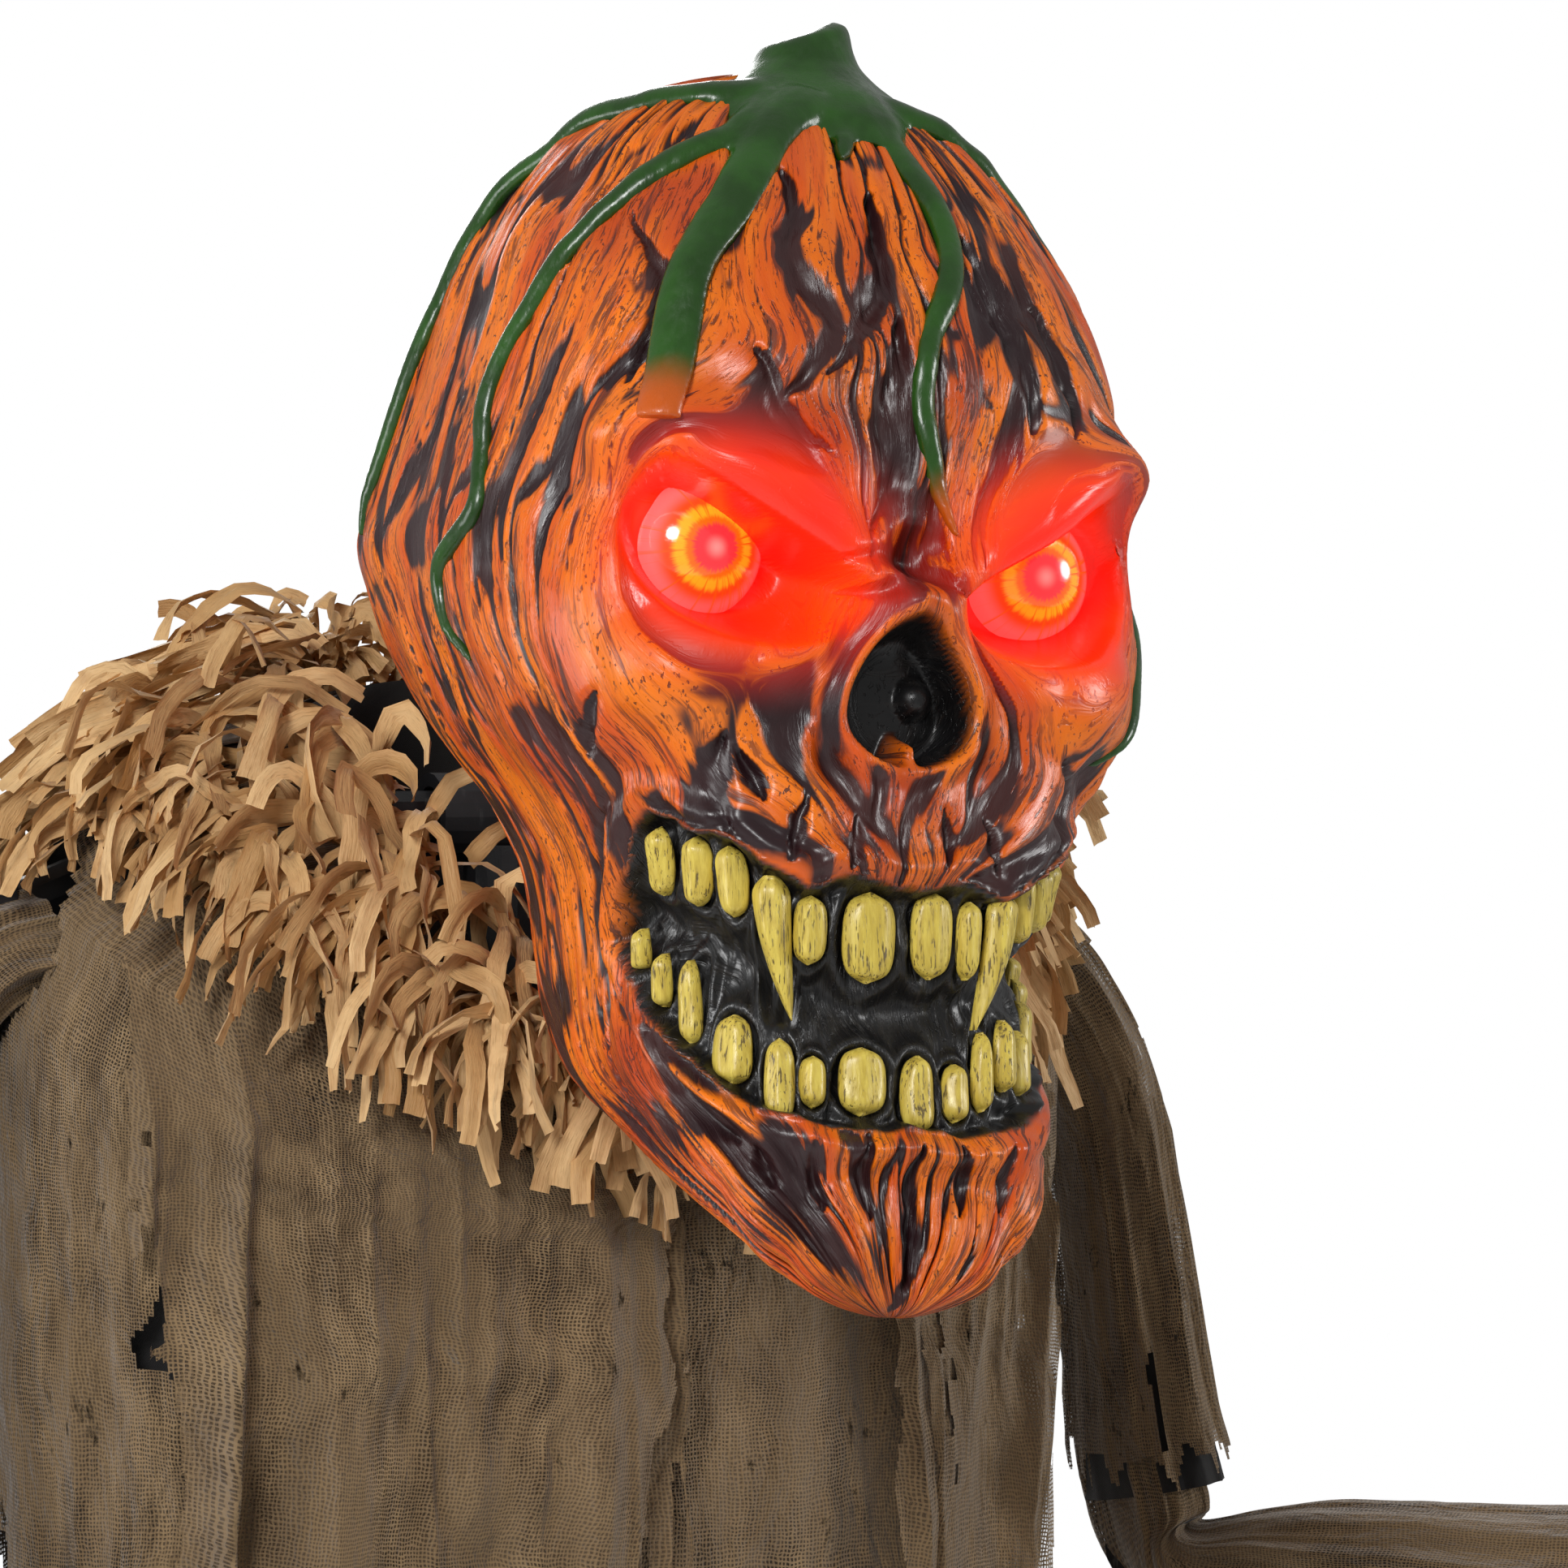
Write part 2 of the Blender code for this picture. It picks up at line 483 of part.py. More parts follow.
def make_neck_bracket(looks, place):
    """A cast bracket from the upper pole to the underside of the tilted gear case."""
    half_width = 0.0200
    seat = [place @ Vector((0, v, CASE_FLOOR - GAP)) for v in (-0.020, 0.036)]
    outline = seat + [Vector((0, y, z)) for y, z in
                      ((-0.014, 1.590), (0.022, 1.590), (0.022, 1.500), (-0.020, 1.500))]
    loops = [[p + Vector((x, 0, 0)) for p in outline] for x in (-half_width, half_width)]
    bracket = loft("neck_bracket", loops, looks["steel"])
    pole_bore = [(UPPER_POLE_R + GAP, 1.49), (UPPER_POLE_R + GAP, 1.61)]
    cut(bracket, turned("bracket_pole_bore", pole_bore, None, count=20))
    start = place @ Vector((0, 0, CASE_FLOOR + 0.002))
    way = [start, Vector((0, -0.040, 1.535)), Vector((0, -0.050, 1.480))]
    cut(bracket, tube("bracket_cable_way", way, 0.0075, None, count=12))


# ---- Head, in its own frame ----------------------------------------------------------------------------


def hollow(x, z, centre_x, centre_z, radius_x, radius_z):
    """1 in the middle of an oval of the face, falling smoothly to 0 at its rim."""
    far = ((x - centre_x) / radius_x) ** 2 + ((z - centre_z) / radius_z) ** 2
    return max(0.0, 1.0 - far) ** 1.5


def head_depth(x, z):
    """How far the face is pushed in (positive) or out at a place seen from the front."""
    depth = 0.0
    for sign in SIDES.values():
        depth += 0.024 * hollow(x, z, sign * 0.060, 0.036, 0.046, 0.040)
        depth -= 0.006 * hollow(x, z, sign * 0.050, 0.080, 0.050, 0.026)
        depth -= 0.006 * hollow(x, z, sign * 0.074, -0.012, 0.040, 0.030)
    depth += 0.012 * hollow(x, z, 0.0, -0.006, 0.026, 0.034)
    depth += 0.006 * hollow(x, z, 0.0, -0.100, 0.075, 0.046)
    return depth


def head_loops(inset, columns=24):
    """Rings of the head from chin to crown, inset from the outer surface."""
    loops = []
    for height, half, front, back, square in HEAD_SECTIONS:
        middle, depth = (front + back) / 2, (back - front) / 2
        loop = []
        for i in range(columns):
            turn = 2 * math.pi * i / columns
            across, ahead = math.sin(turn), math.cos(turn)
            reach = (abs(across) ** square + abs(ahead) ** square) ** (-1 / square)
            x = max(half - inset, 0.004) * across * reach
            y = middle - max(depth - inset, 0.004) * ahead * reach
            if ahead > 0:
                y += head_depth(x, height) * min(1.0, ahead * 1.6)
            loop.append(Vector((x, y, height)))
        loops.append(loop)
    if inset:
        loops = [loop for loop in loops if -0.19 < loop[0].z < 0.188]
    return loops


def make_head(looks, neck, neck_place):
    """A blow-moulded hollow skull with a lit eye behind each socket and a round neck opening."""
    centre = neck_place @ Vector((0, 0, HEAD_ABOVE_NECK))
    place = Matrix.Translation(centre) @ Matrix.Rotation(HEAD_ROLL, 4, "Y")
    head = empty("head_frame", place)
    shell = loft("head_shell", head_loops(0), looks["skull"], head)
    stem = [(0.036, 0.170), (0.036, 0.184), (0.024, 0.196), (0.0165, 0.207), (STEM_R, STEM_TOP - 0.006),
            (0.0125, STEM_TOP)]
    join(shell, turned("stem", stem, None, head, count=14, place=Matrix.Translation((0, STEM_Y, 0))))
    cut(shell, loft("head_hollow", head_loops(SHELL_WALL), None, head))
    cut(shell, tube("neck_opening", [(0, 0, 0.060), (0, 0, 0.175)], 0.0336, None, neck, count=18))
    lead_starts = []
    for side, sign in SIDES.items():
        eye = Vector((sign * EYE.x, EYE.y, EYE.z))
        ball = bmesh.new()
        bmesh.ops.create_uvsphere(ball, u_segments=18, v_segments=12, radius=EYE_R + 0.0008)
        bmesh.ops.translate(ball, vec=eye, verts=ball.verts)
        mesh = bpy.data.meshes.new("eye_seat_" + side)
        ball.to_mesh(mesh)
        ball.free()
        cut(shell, new_object("eye_seat_" + side, mesh, None, head))
        seat = [(EYE_R + 0.0014, -0.001), (EYE_R + 0.0014, 0.040)]
        opening = [(0.0195, -0.002), (0.0195, 0.050)]
        cut(shell, turned("eye_opening_" + side, opening, None, head, count=16,
                          place=facing(eye, (0, -1, 0))))
        cut(shell, turned("eye_way_" + side, seat, None, head, count=20, place=facing(eye, (0, 1, 0))))
        make_eye(looks, side, eye, head)
        lead_starts.append(eye + Vector((0, 0.036, 0)))
    top = place.inverted() @ (neck_place @ Vector((0, 0, 0.151)))
    branches = []
    for (side, sign), start in zip(SIDES.items(), lead_starts):
        route = [start, start + Vector((0, 0.020, -0.004)), Vector((sign * 0.026, 0.010, -0.004)),
                 top + Vector((0, -0.020, 0.024)), top]
        look = looks["red"] if side == "left" else None
        name = "eye_lead" if look else "eye_lead_branch"
        branches.append(tube(name, smooth_path(route, 3), 0.0016, look, head, count=5))
    join(branches[0], branches[1])


def make_eye(looks, side, eye, head):
    """A printed lens dome in front of a cup that holds its lamp board."""
    forward = facing(eye, (0, -1, 0))
    outer = [(EYE_R * math.sin(t), EYE_R * math.cos(t)) for t in between(0.12, 1.50, 5)]
    thin = EYE_R - EYE_WALL
    inner = [(thin * math.sin(t), thin * math.cos(t)) for t in between(1.48, 0.14, 5)]
    turned("eye_lens_" + side, outer + inner, looks["eye"], head, count=18, place=forward)
    backward = facing(eye, (0, 1, 0))
    cup_r, cup_thin_r, rim, floor, lead_hole_r = EYE_R - 0.0008, EYE_R - 0.0030, 0.0005, 0.0345, 0.0030
    cup = [(lead_hole_r, floor), (cup_r, floor), (cup_r, rim), (cup_thin_r, rim),
           (cup_thin_r, floor - EYE_WALL), (lead_hole_r, floor - EYE_WALL)]
    turned("eye_cup_" + side, cup, looks["nylon"], head, count=16, wrap=True, place=backward)
    board = [(0.0180, 0.0180), (0.0180, 0.0165), (0.0030, 0.0164), (0.0025, 0.0120)]
    turned("eye_lamp_" + side, board, looks["board"], head, count=16, place=backward)


# ---- Arms ----------------------------------------------------------------------------------------------


def mirrored(point, sign):
    return Vector((point[0] * sign, point[1], point[2]))


def arm_empty(name, centre):
    return empty(name, Matrix.Translation(centre))


def relative(points, centre):
    return [Vector(p) - centre for p in points]


def make_arm(looks, side, sign):
    """Upper arm on the shoulder lug, forearm on the elbow bolt, and a moulded hand on the forearm's end."""
    shoulder = Vector((sign * SHOULDER_X, 0, SHOULDER_Z))
    pivot = arm_empty("shoulder_pivot_" + side, shoulder)
    elbow = mirrored(ELBOW, sign)
    along = mirrored(FOREARM_DIRECTION, sign)
    across = Vector((0, 0, 1)).cross(along).normalized()
    path = smooth_path([mirrored(p, sign) for p in
                        ((0.2083, 0, 1.6345), (0.2100, 0, 1.620), (0.226, 0, 1.580), (0.238, 0, 1.520),
                         (0.250, 0, 1.425))], 2)
    arm = tube("upper_arm_" + side, relative(path, shoulder), ARM_R, looks["steel"], pivot, count=10)
    face = Vector((sign * LUG_THICK / 2, 0, 0))
    join(arm, tube("arm_lug_" + side, [-face, face], LUG_R, None, pivot, count=16))
    web = [Vector((x, y, z)) - shoulder for x, y, z in
           ((sign * 0.1976, -0.0062, 1.6282), (sign * 0.2120, 0.0062, 1.6402))]
    low = Vector([min(a, b) for a, b in zip(*web)])
    high = Vector([max(a, b) for a, b in zip(*web)])
    join(arm, block("arm_web_" + side, low, high, None, pivot))
    cut(arm, tube("arm_hole_" + side, [-face * 8, face * 8], 0.0035, None, pivot, count=12))
    elbow_at = elbow - shoulder
    lug_half = 0.0022
    lug = [elbow_at - across * lug_half, elbow_at + across * lug_half]
    join(arm, tube("elbow_lug_" + side, lug, LUG_R, None, pivot, count=16))
    clear = lug_half - 0.0002
    for end, reach in (("near", 1), ("far", -1)):
        path_end = [elbow_at + across * (reach * clear), elbow_at + across * (reach * (clear + 0.02))]
        cut(arm, tube(f"elbow_room_{end}_{side}", path_end, LUG_R + 0.004, None, pivot, count=20))
    bolt_way = [elbow_at - across * 0.02, elbow_at + across * 0.02]
    cut(arm, tube("elbow_hole_" + side, bolt_way, 0.0030, None, pivot, count=12))
    seat = shoulder + Vector((sign * (LUG_THICK / 2 + GAP), 0, 0))
    make_wing_bolt("shoulder_bolt_" + side, looks, None, seat, Vector((sign, 0, 0)), 0.0142)
    make_forearm(looks, side, sign, elbow, along, across, lug_half)


def make_wing_bolt(name, looks, parent, seat, out, reach):
    """A round head against the outer lug and a plain shank back through both lugs."""
    profile = [(0.0028, -reach), (0.0028, 0.0), (0.0080, 0.0002), (0.0080, 0.0035), (0.0050, 0.0060)]
    place = facing(seat, out)
    turned(name, profile, looks["zinc"], parent, count=14, place=place)


def make_forearm(looks, side, sign, elbow, along, across, lug_half):
    pivot = arm_empty("elbow_pivot_" + side, elbow)
    up = Vector((0, 0, 1))
    start = along * 0.020
    wrist = along * FOREARM_LENGTH
    arm = tube("forearm_" + side, [start, wrist], ARM_R, looks["steel"], pivot, count=12)
    inner, outer = lug_half + GAP, lug_half + GAP + 0.0028
    for end, reach in (("near", 1), ("far", -1)):
        plate = [across * (reach * (inner - 0.0012)), across * (reach * outer)]
        join(arm, tube(f"fork_{end}_{side}", plate, LUG_R, None, pivot, count=16))
        low, high = sorted((reach * (inner - 0.0006), reach * (outer - 0.0004)))
        join(arm, prism(f"fork_arm_{end}_{side}", across * low - up * 0.0075, along * 0.030,
                        across * (high - low), up * 0.015, pivot))
    cut(arm, tube("fork_hole_" + side, [across * -0.02, across * 0.02], 0.0031, None, pivot, count=12))
    room = [across * -inner, across * inner]
    cut(arm, tube("fork_room_" + side, room, LUG_R + 0.0035, None, pivot, count=20))
    make_wing_bolt("elbow_bolt_" + side, looks, pivot, across * (outer + GAP), across, 2 * outer + 0.002)
    make_hand(looks, side, sign, wrist, along, across, pivot)


def prism(name, corner, a, b, c, parent):
    """A box from a corner and three edges."""
    end = [corner, corner + b, corner + b + c, corner + c]
    return loft(name, [end, [p + a for p in end]], None, parent)


def make_hand(looks, side, sign, wrist, along, across, pivot):
    """A moulded bony hand, palm down with curled fingers, grown from round bones into one skin."""
    up = Vector((0, 0, 1))
    out = across * (-sign)
    shape = bmesh.new()

    def bone(a, b, r0, r1):
        length = (b - a).length
        made = bmesh.ops.create_cone(shape, cap_ends=True, segments=10, radius1=r0, radius2=r1, depth=length)
        turn = facing((a + b) / 2, b - a)
        bmesh.ops.transform(shape, matrix=turn, verts=made["verts"])
        for centre, r in ((a, r0), (b, r1)):
            ball = bmesh.ops.create_icosphere(shape, subdivisions=2, radius=r)
            bmesh.ops.translate(shape, vec=centre, verts=ball["verts"])

    base = wrist + along * 0.010
    bone(base, wrist + along * 0.030, 0.0165, 0.0150)
    for k in range(4):
        spread = (k - 1.5)
        root = wrist + along * (0.072 - 0.003 * abs(spread)) + out * (spread * 0.0145) + up * 0.002
        bone(wrist + along * 0.028 + out * (spread * 0.0085), root, 0.0100, 0.0088)
        lean = (along + out * (spread * 0.10)).normalized()
        middle = root + lean * 0.034 + up * 0.002
        tip = middle + lean * 0.022 - up * 0.020
        bone(root, middle, 0.0078, 0.0066)
        bone(middle, tip, 0.0066, 0.0042)
    thumb_root = wrist + along * 0.030 - out * 0.016
    thumb_mid = wrist + along * 0.062 - out * 0.040 - up * 0.006
    bone(thumb_root, thumb_mid, 0.0095, 0.0075)
    bone(thumb_mid, thumb_mid + along * 0.026 - out * 0.004 - up * 0.012, 0.0072, 0.0045)
    mesh = bpy.data.meshes.new("hand_" + side)
    shape.to_mesh(mesh)
    shape.free()
    hand = new_object("hand_" + side, mesh, looks["skull"], pivot)
    skin = hand.modifiers.new("one_skin", "REMESH")
    skin.mode = "VOXEL"
    skin.voxel_size = 0.0036
    thin = hand.modifiers.new("fewer_faces", "DECIMATE")
    thin.ratio = 0.10
    bore = [wrist - along * 0.05, wrist + along * GAP]
    cut(hand, tube("hand_bore_" + side, bore, ARM_R + GAP, None, pivot, count=16))


# ---- Soft parts: plain solids of the right size and place -----------------------------------------------


def oval(ring, grow, rise, count):
    """One of the robe's rings as points, grown outwards and lifted."""
    y, z, half, deep, slope = ring
    points = []
    for i in range(count):
        t = 2 * math.pi * i / count
        back = (deep + grow) * math.sin(t)
        lift = slope * back * (NAPE_RISE if back > 0 else 1.0)
        points.append(Vector(((half + grow) * math.cos(t), y + back, z + lift + rise)))
    return points


def make_robe(looks):
    """The black under-robe: an open bell with armholes and a neckline that dips at the front."""
    outer = [oval(ring, 0, 0, 20) for ring in ROBE_RINGS]
    inner = [oval(ring, -CLOTH, 0, 20) for ring in ROBE_RINGS[:-4]]
    inner.append(oval(ROBE_RINGS[-4], -CLOTH, -CLOTH, 20))
    inner += [oval(ring, -0.4 * CLOTH, -CLOTH, 20) for ring in ROBE_RINGS[-3:]]
    robe = loft("under_robe", outer + inner[::-1], looks["robe"], wrap=True)
    for side, sign in SIDES.items():
        way = [Vector((sign * 0.160, 0, ARMHOLE_Z)), Vector((sign * 0.230, 0, ARMHOLE_Z))]
        cut(robe, tube("armhole_" + side, way, ARMHOLE_R, None, count=16))


def make_gauze(looks):
    """The gauze tunic over the robe, from under the collar to a ragged hem."""
    rings = [(y, z, half, deep, slope) for y, z, half, deep, slope in ROBE_RINGS if 0.4 < z < 1.55]
    low = (0.0, 0.30, 0.243, 0.198, 0.0)
    top = (-0.0110, 1.535, 0.1860, 0.1105, 0.13)
    rings = [low] + rings + [top]
    outer = [oval(ring, 0.0075, 0, 24) for ring in rings]
    inner = [oval(ring, 0.0075 - CLOTH, 0, 24) for ring in rings]
    loft("gauze_tunic", outer + inner[::-1], looks["gauze"], wrap=True)


def collar_edge(grow, rise, count):
    """The collar's outer edge: level over the shoulders, lower behind and lowest at the front."""
    points = []
    for i in range(count):
        t = 2 * math.pi * i / count
        x = (COLLAR_HALF_WIDTH + grow) * math.cos(t)
        y = -0.016 + (COLLAR_HALF_DEPTH + grow) * math.sin(t)
        front = min(1.0, 3.0 * max(0.0, -math.sin(t))) * max(0.0, 1.0 - abs(x - 0.040) / 0.170)
        back = max(0.0, math.sin(t)) ** 1.4
        points.append(Vector((x, y, COLLAR_EDGE_Z - 0.108 * front - 0.024 * back + rise)))
    return points


def make_collar(looks):
    """The raffia collar: a thick mantle from the neckline over the shoulders."""
    # How far each ring's underside and top stand outside the robe and above it, from the neckline outwards.
    under_by = ((0.0020, 0.0040), (0.0020, 0.0040), (0.0025, 0.0045), (0.0040, 0.0055))
    over_by = ((0.0030, 0.0120), (0.0040, 0.0140), (0.0080, 0.0180), (0.0110, 0.0180))
    rings = ROBE_RINGS[:-5:-1]
    under = [oval(ring, grow, rise, 24) for ring, (grow, rise) in zip(rings, under_by)]
    over = [oval(ring, grow, rise, 24) for ring, (grow, rise) in zip(rings, over_by)]
    loops = under + [collar_edge(0, 0, 24), collar_edge(0.012, 0.005, 24)] + over[::-1]
    loft("raffia_collar", loops, looks["raffia"], wrap=True)


def sleeve_loops(path, radii, drops, sign, count):
    """Rings round an arm that hang lower than they rise."""
    path = [mirrored(p, sign) for p in path]
    frames = frames_along(path)
    loops = []
    for point, (a, b), r, drop in zip(path, frames, radii, drops):
        ring = circle(point, a, b, r, count)
        loops.append([p - Vector((0, 0, drop * max(0.0, (point.z - p.z) / r))) for p in ring])
    return loops


def make_sleeve(looks, side, sign):
    """The sleeve in two solids, above and below the elbow, and the raffia cuff at the wrist."""
    shoulder = Vector((sign * SHOULDER_X, 0, SHOULDER_Z))
    shoulder_pivot = bpy.data.objects["shoulder_pivot_" + side]
    elbow_pivot = bpy.data.objects["elbow_pivot_" + side]
    path = [Vector((0.2170, 0, 1.618)), Vector((0.2360, 0, 1.604)), Vector((0.2440, 0, 1.560)),
            Vector((0.2500, 0, 1.490))]
    radii = [0.044, 0.042, 0.035, 0.034]
    rings = sleeve_loops(path, radii, [0, 0, 0, 0], sign, 16)
    for ring in rings:
        for p in ring:
            p.x = sign * max(BESIDE_ROBE_X, abs(p.x))
    inside = []
    for centre, ring in zip(path, rings):
        middle = mirrored(centre, sign)
        inside.append([p + (middle - p).normalized() * CLOTH for p in ring])
    for p in rings[0] + inside[0]:
        p.x = sign * path[0].x
    upper = [relative(loop, shoulder) for loop in rings + inside[::-1]]
    loft("upper_sleeve_" + side, upper, looks["gauze"], shoulder_pivot, wrap=True)
    along, elbow = mirrored(FOREARM_DIRECTION, sign), mirrored(ELBOW, sign)
    stations = (0.052, 0.090, 0.150, 0.200)
    sizes = (0.030, 0.039, 0.044, 0.042)
    hang = (0.008, 0.036, 0.084, 0.110)
    path = [ELBOW + FOREARM_DIRECTION * s for s in stations]
    rings = sleeve_loops(path, sizes, hang, sign, 16)
    inside = sleeve_loops(path, [r - CLOTH for r in sizes], [h - CLOTH for h in hang], sign, 16)
    lower = [relative(loop, elbow) for loop in rings + inside[::-1]]
    loft("lower_sleeve_" + side, lower, looks["gauze"], elbow_pivot, wrap=True)
    wrist = along * (FOREARM_LENGTH - 0.030)
    across = Vector((0, 0, 1)).cross(along).normalized()
    up = along.cross(across)
    profile = ((0, ARM_R + 0.0010), (0, 0.020), (0.060, 0.038), (0.056, 0.030), (0.020, ARM_R + 0.0025))
    cuff = [circle(wrist + along * reach, across, up, radius, 18) for reach, radius in profile]
    loft("raffia_cuff_" + side, cuff, looks["raffia"], elbow_pivot, wrap=True)


def make_neck_lead(looks, place):
    """The flat lead from the control box up into the bore of the neck shaft."""
    route = [Vector((-0.020, -0.036, BOX_HIGH + 0.001)), Vector((-0.020, -0.042, 1.430)),
             Vector((-0.008, -0.048, 1.480)), Vector((0, -0.044, 1.520))]
    route += [place @ Vector((0, 0, height)) for height in (CASE_FLOOR - 0.004, 0.004, 0.030)]
    tube("neck_lead", smooth_path(route, 3), 0.0022, looks["red"], count=6)


def main():
    clear_scene()
    looks = make_looks()
    make_base(looks)
    make_poles(looks)
    make_shoulder_bar(looks)
    make_control_box(looks)
    neck, place = make_neck_drive(looks)
    make_neck_lead(looks, place)
    bpy.context.view_layer.update()
    make_head(looks, neck, place)
    for side, sign in SIDES.items():
        make_arm(looks, side, sign)
        make_sleeve(looks, side, sign)
    make_robe(looks)
    make_gauze(looks)
    make_collar(looks)


main()
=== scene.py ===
"""The looks of the scarecrow figure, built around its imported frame.

Metres, +Z up, in the frame's own axes: the figure faces -Y and its left hand is on the +X side. The head is
worked out in its own frame first, with its origin at the head's centre, and then put in place.
"""

import json
import math

import bpy
import numpy as np
from mathutils import Matrix, Vector
from mathutils.bvhtree import BVHTree


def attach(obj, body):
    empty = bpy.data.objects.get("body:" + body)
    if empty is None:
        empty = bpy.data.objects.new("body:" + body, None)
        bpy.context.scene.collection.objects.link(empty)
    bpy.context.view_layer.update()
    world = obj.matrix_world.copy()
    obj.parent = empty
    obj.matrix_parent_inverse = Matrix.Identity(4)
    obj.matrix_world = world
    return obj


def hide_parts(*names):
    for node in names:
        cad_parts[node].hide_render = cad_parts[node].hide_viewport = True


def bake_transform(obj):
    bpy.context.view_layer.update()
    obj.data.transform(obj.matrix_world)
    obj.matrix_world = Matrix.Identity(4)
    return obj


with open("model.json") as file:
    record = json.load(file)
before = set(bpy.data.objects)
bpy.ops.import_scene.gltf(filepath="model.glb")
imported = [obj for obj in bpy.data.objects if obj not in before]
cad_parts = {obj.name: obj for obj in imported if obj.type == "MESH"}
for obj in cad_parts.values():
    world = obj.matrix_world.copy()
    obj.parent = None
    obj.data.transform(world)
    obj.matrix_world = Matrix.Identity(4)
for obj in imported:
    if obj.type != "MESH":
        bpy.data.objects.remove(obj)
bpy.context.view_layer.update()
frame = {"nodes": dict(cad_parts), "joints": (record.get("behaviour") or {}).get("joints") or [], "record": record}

# ---- Driving dimensions ----

MM = 0.001
SIDES = {"left": 1.0, "right": -1.0}
JOINTS = {joint["name"]: joint for joint in frame["joints"]}
NECK = Vector(JOINTS["head_turn"]["pos_m"])
NECK_AXIS = Vector(JOINTS["head_turn"]["axis"]).normalized()
NECK_TO_CENTRE = 0.217             # from the neck's pivot to the head's centre
HEAD_CENTRE = NECK + NECK_AXIS * NECK_TO_CENTRE
HEAD_ROLL = math.radians(4.0)      # how far the head hangs to one side
HEAD = Matrix.Translation(HEAD_CENTRE) @ Matrix.Rotation(HEAD_ROLL, 4, "Y")

EYE = Vector((0.0580, -0.0775, 0.0340))   # the left eye's centre in the head's frame
EYE_R = 0.0240
STEM_Y = -0.018                    # the stem stands in front of the head's centre

# Height, half width, front, back and squareness of the head's outline.
HEAD_SECTIONS = np.array((
    (-0.203, 0.000, -0.140, -0.140, 2.4),
    (-0.200, 0.018, -0.151, -0.130, 2.4),
    (-0.193, 0.030, -0.151, -0.120, 2.7),
    (-0.180, 0.044, -0.149, -0.106, 3.0),
    (-0.160, 0.060, -0.146, -0.058, 3.0),
    (-0.134, 0.067, -0.142, 0.014, 3.0),
    (-0.110, 0.067, -0.140, 0.045, 3.0),
    (-0.080, 0.072, -0.139, 0.046, 3.0),
    (-0.066, 0.075, -0.138, 0.048, 3.0),
    (-0.046, 0.085, -0.134, 0.060, 3.0),
    (-0.026, 0.100, -0.130, 0.078, 3.0),
    (0.006, 0.112, -0.127, 0.106, 3.0),
    (0.036, 0.114, -0.124, 0.139, 3.0),
    (0.064, 0.109, -0.124, 0.133, 2.9),
    (0.096, 0.103, -0.121, 0.126, 2.7),
    (0.126, 0.095, -0.108, 0.120, 2.5),
    (0.150, 0.084, -0.088, 0.110, 2.4),
    (0.170, 0.072, -0.066, 0.084, 2.3),
    (0.184, 0.056, -0.047, 0.048, 2.2),
    (0.192, 0.030, -0.030, 0.020, 2.1),
    (0.196, 0.000, -0.005, -0.005, 2.0),
))
SECTION_BLUR = 0.0055              # how far the sections melt into each other up and down
HEAD_COLUMNS, HEAD_ROWS = 440, 440

# Height, centre y, half width, half depth and backward rise of the body's outline, hem to neckline.
BODY_RINGS = np.array((
    (0.060, 0.000, 0.270, 0.230, 0.00),
    (0.500, 0.000, 0.222, 0.172, 0.00),
    (1.000, 0.000, 0.186, 0.136, 0.00),
    (1.350, -0.005, 0.178, 0.120, 0.05),
    (1.500, -0.010, 0.184, 0.112, 0.10),
    (1.575, -0.012, 0.190, 0.109, 0.25),
    (1.625, -0.014, 0.192, 0.106, 0.50),
    (1.668, -0.018, 0.180, 0.101, 0.75),
    (1.692, -0.024, 0.150, 0.094, 0.92),
    (1.702, -0.028, 0.118, 0.090, 1.05),
    (1.711, -0.030, 0.074, 0.088, 1.15),
))
TUNIC_GAP = 0.0035                 # from the robe's outside to the tunic
ARMHOLE_Z = 1.640                  # middle of the hole that each arm leaves the clothes through
NAPE_RISE = 0.2                    # share of the rings' slope that the clothes keep behind the neck

# ---- Noise and small tools ----

RANDOM = np.random.default_rng(11)


def lattice(x, y, z, seed):
    """A fixed random number from 0 to 1 for each whole-number place."""
    mixed = (x * 374761393 + y * 668265263 + z * 1274126177 + seed * 974634777) & 0xFFFFFFFF
    mixed = ((mixed ^ (mixed >> 13)) * 1103515245) & 0xFFFFFFFF
    return ((mixed ^ (mixed >> 16)) & 0xFFFFFF) / 0xFFFFFF


def noise(points, seed=0):
    """Smooth noise from -1 to 1 at an array of points."""
    points = np.asarray(points, float)
    cell = np.floor(points).astype(np.int64)
    part = points - cell
    part = part * part * (3 - 2 * part)
    total = 0.0
    for corner in range(8):
        step = np.array((corner & 1, corner >> 1 & 1, corner >> 2 & 1))
        weight = np.prod(np.where(step == 1, part, 1 - part), axis=-1)
        at = cell + step
        total = total + weight * lattice(at[..., 0], at[..., 1], at[..., 2], seed)
    return 2 * total - 1


def noise_at(x, y, z, seed):
    """Smooth noise from -1 to 1 at places given as three arrays or numbers."""
    return noise(np.stack(np.broadcast_arrays(x, y, z), -1), seed)


def noise_line(values, seed=0):
    """Smooth noise from -1 to 1 along one number."""
    values = np.asarray(values, float)
    return noise_at(values, 0.37, 0.71, seed)


def smooth(low, high, value):
    """0 below low, 1 above high and a smooth step between. low may be the larger one."""
    t = np.clip((value - low) / (high - low), 0, 1)
    return t * t * (3 - 2 * t)


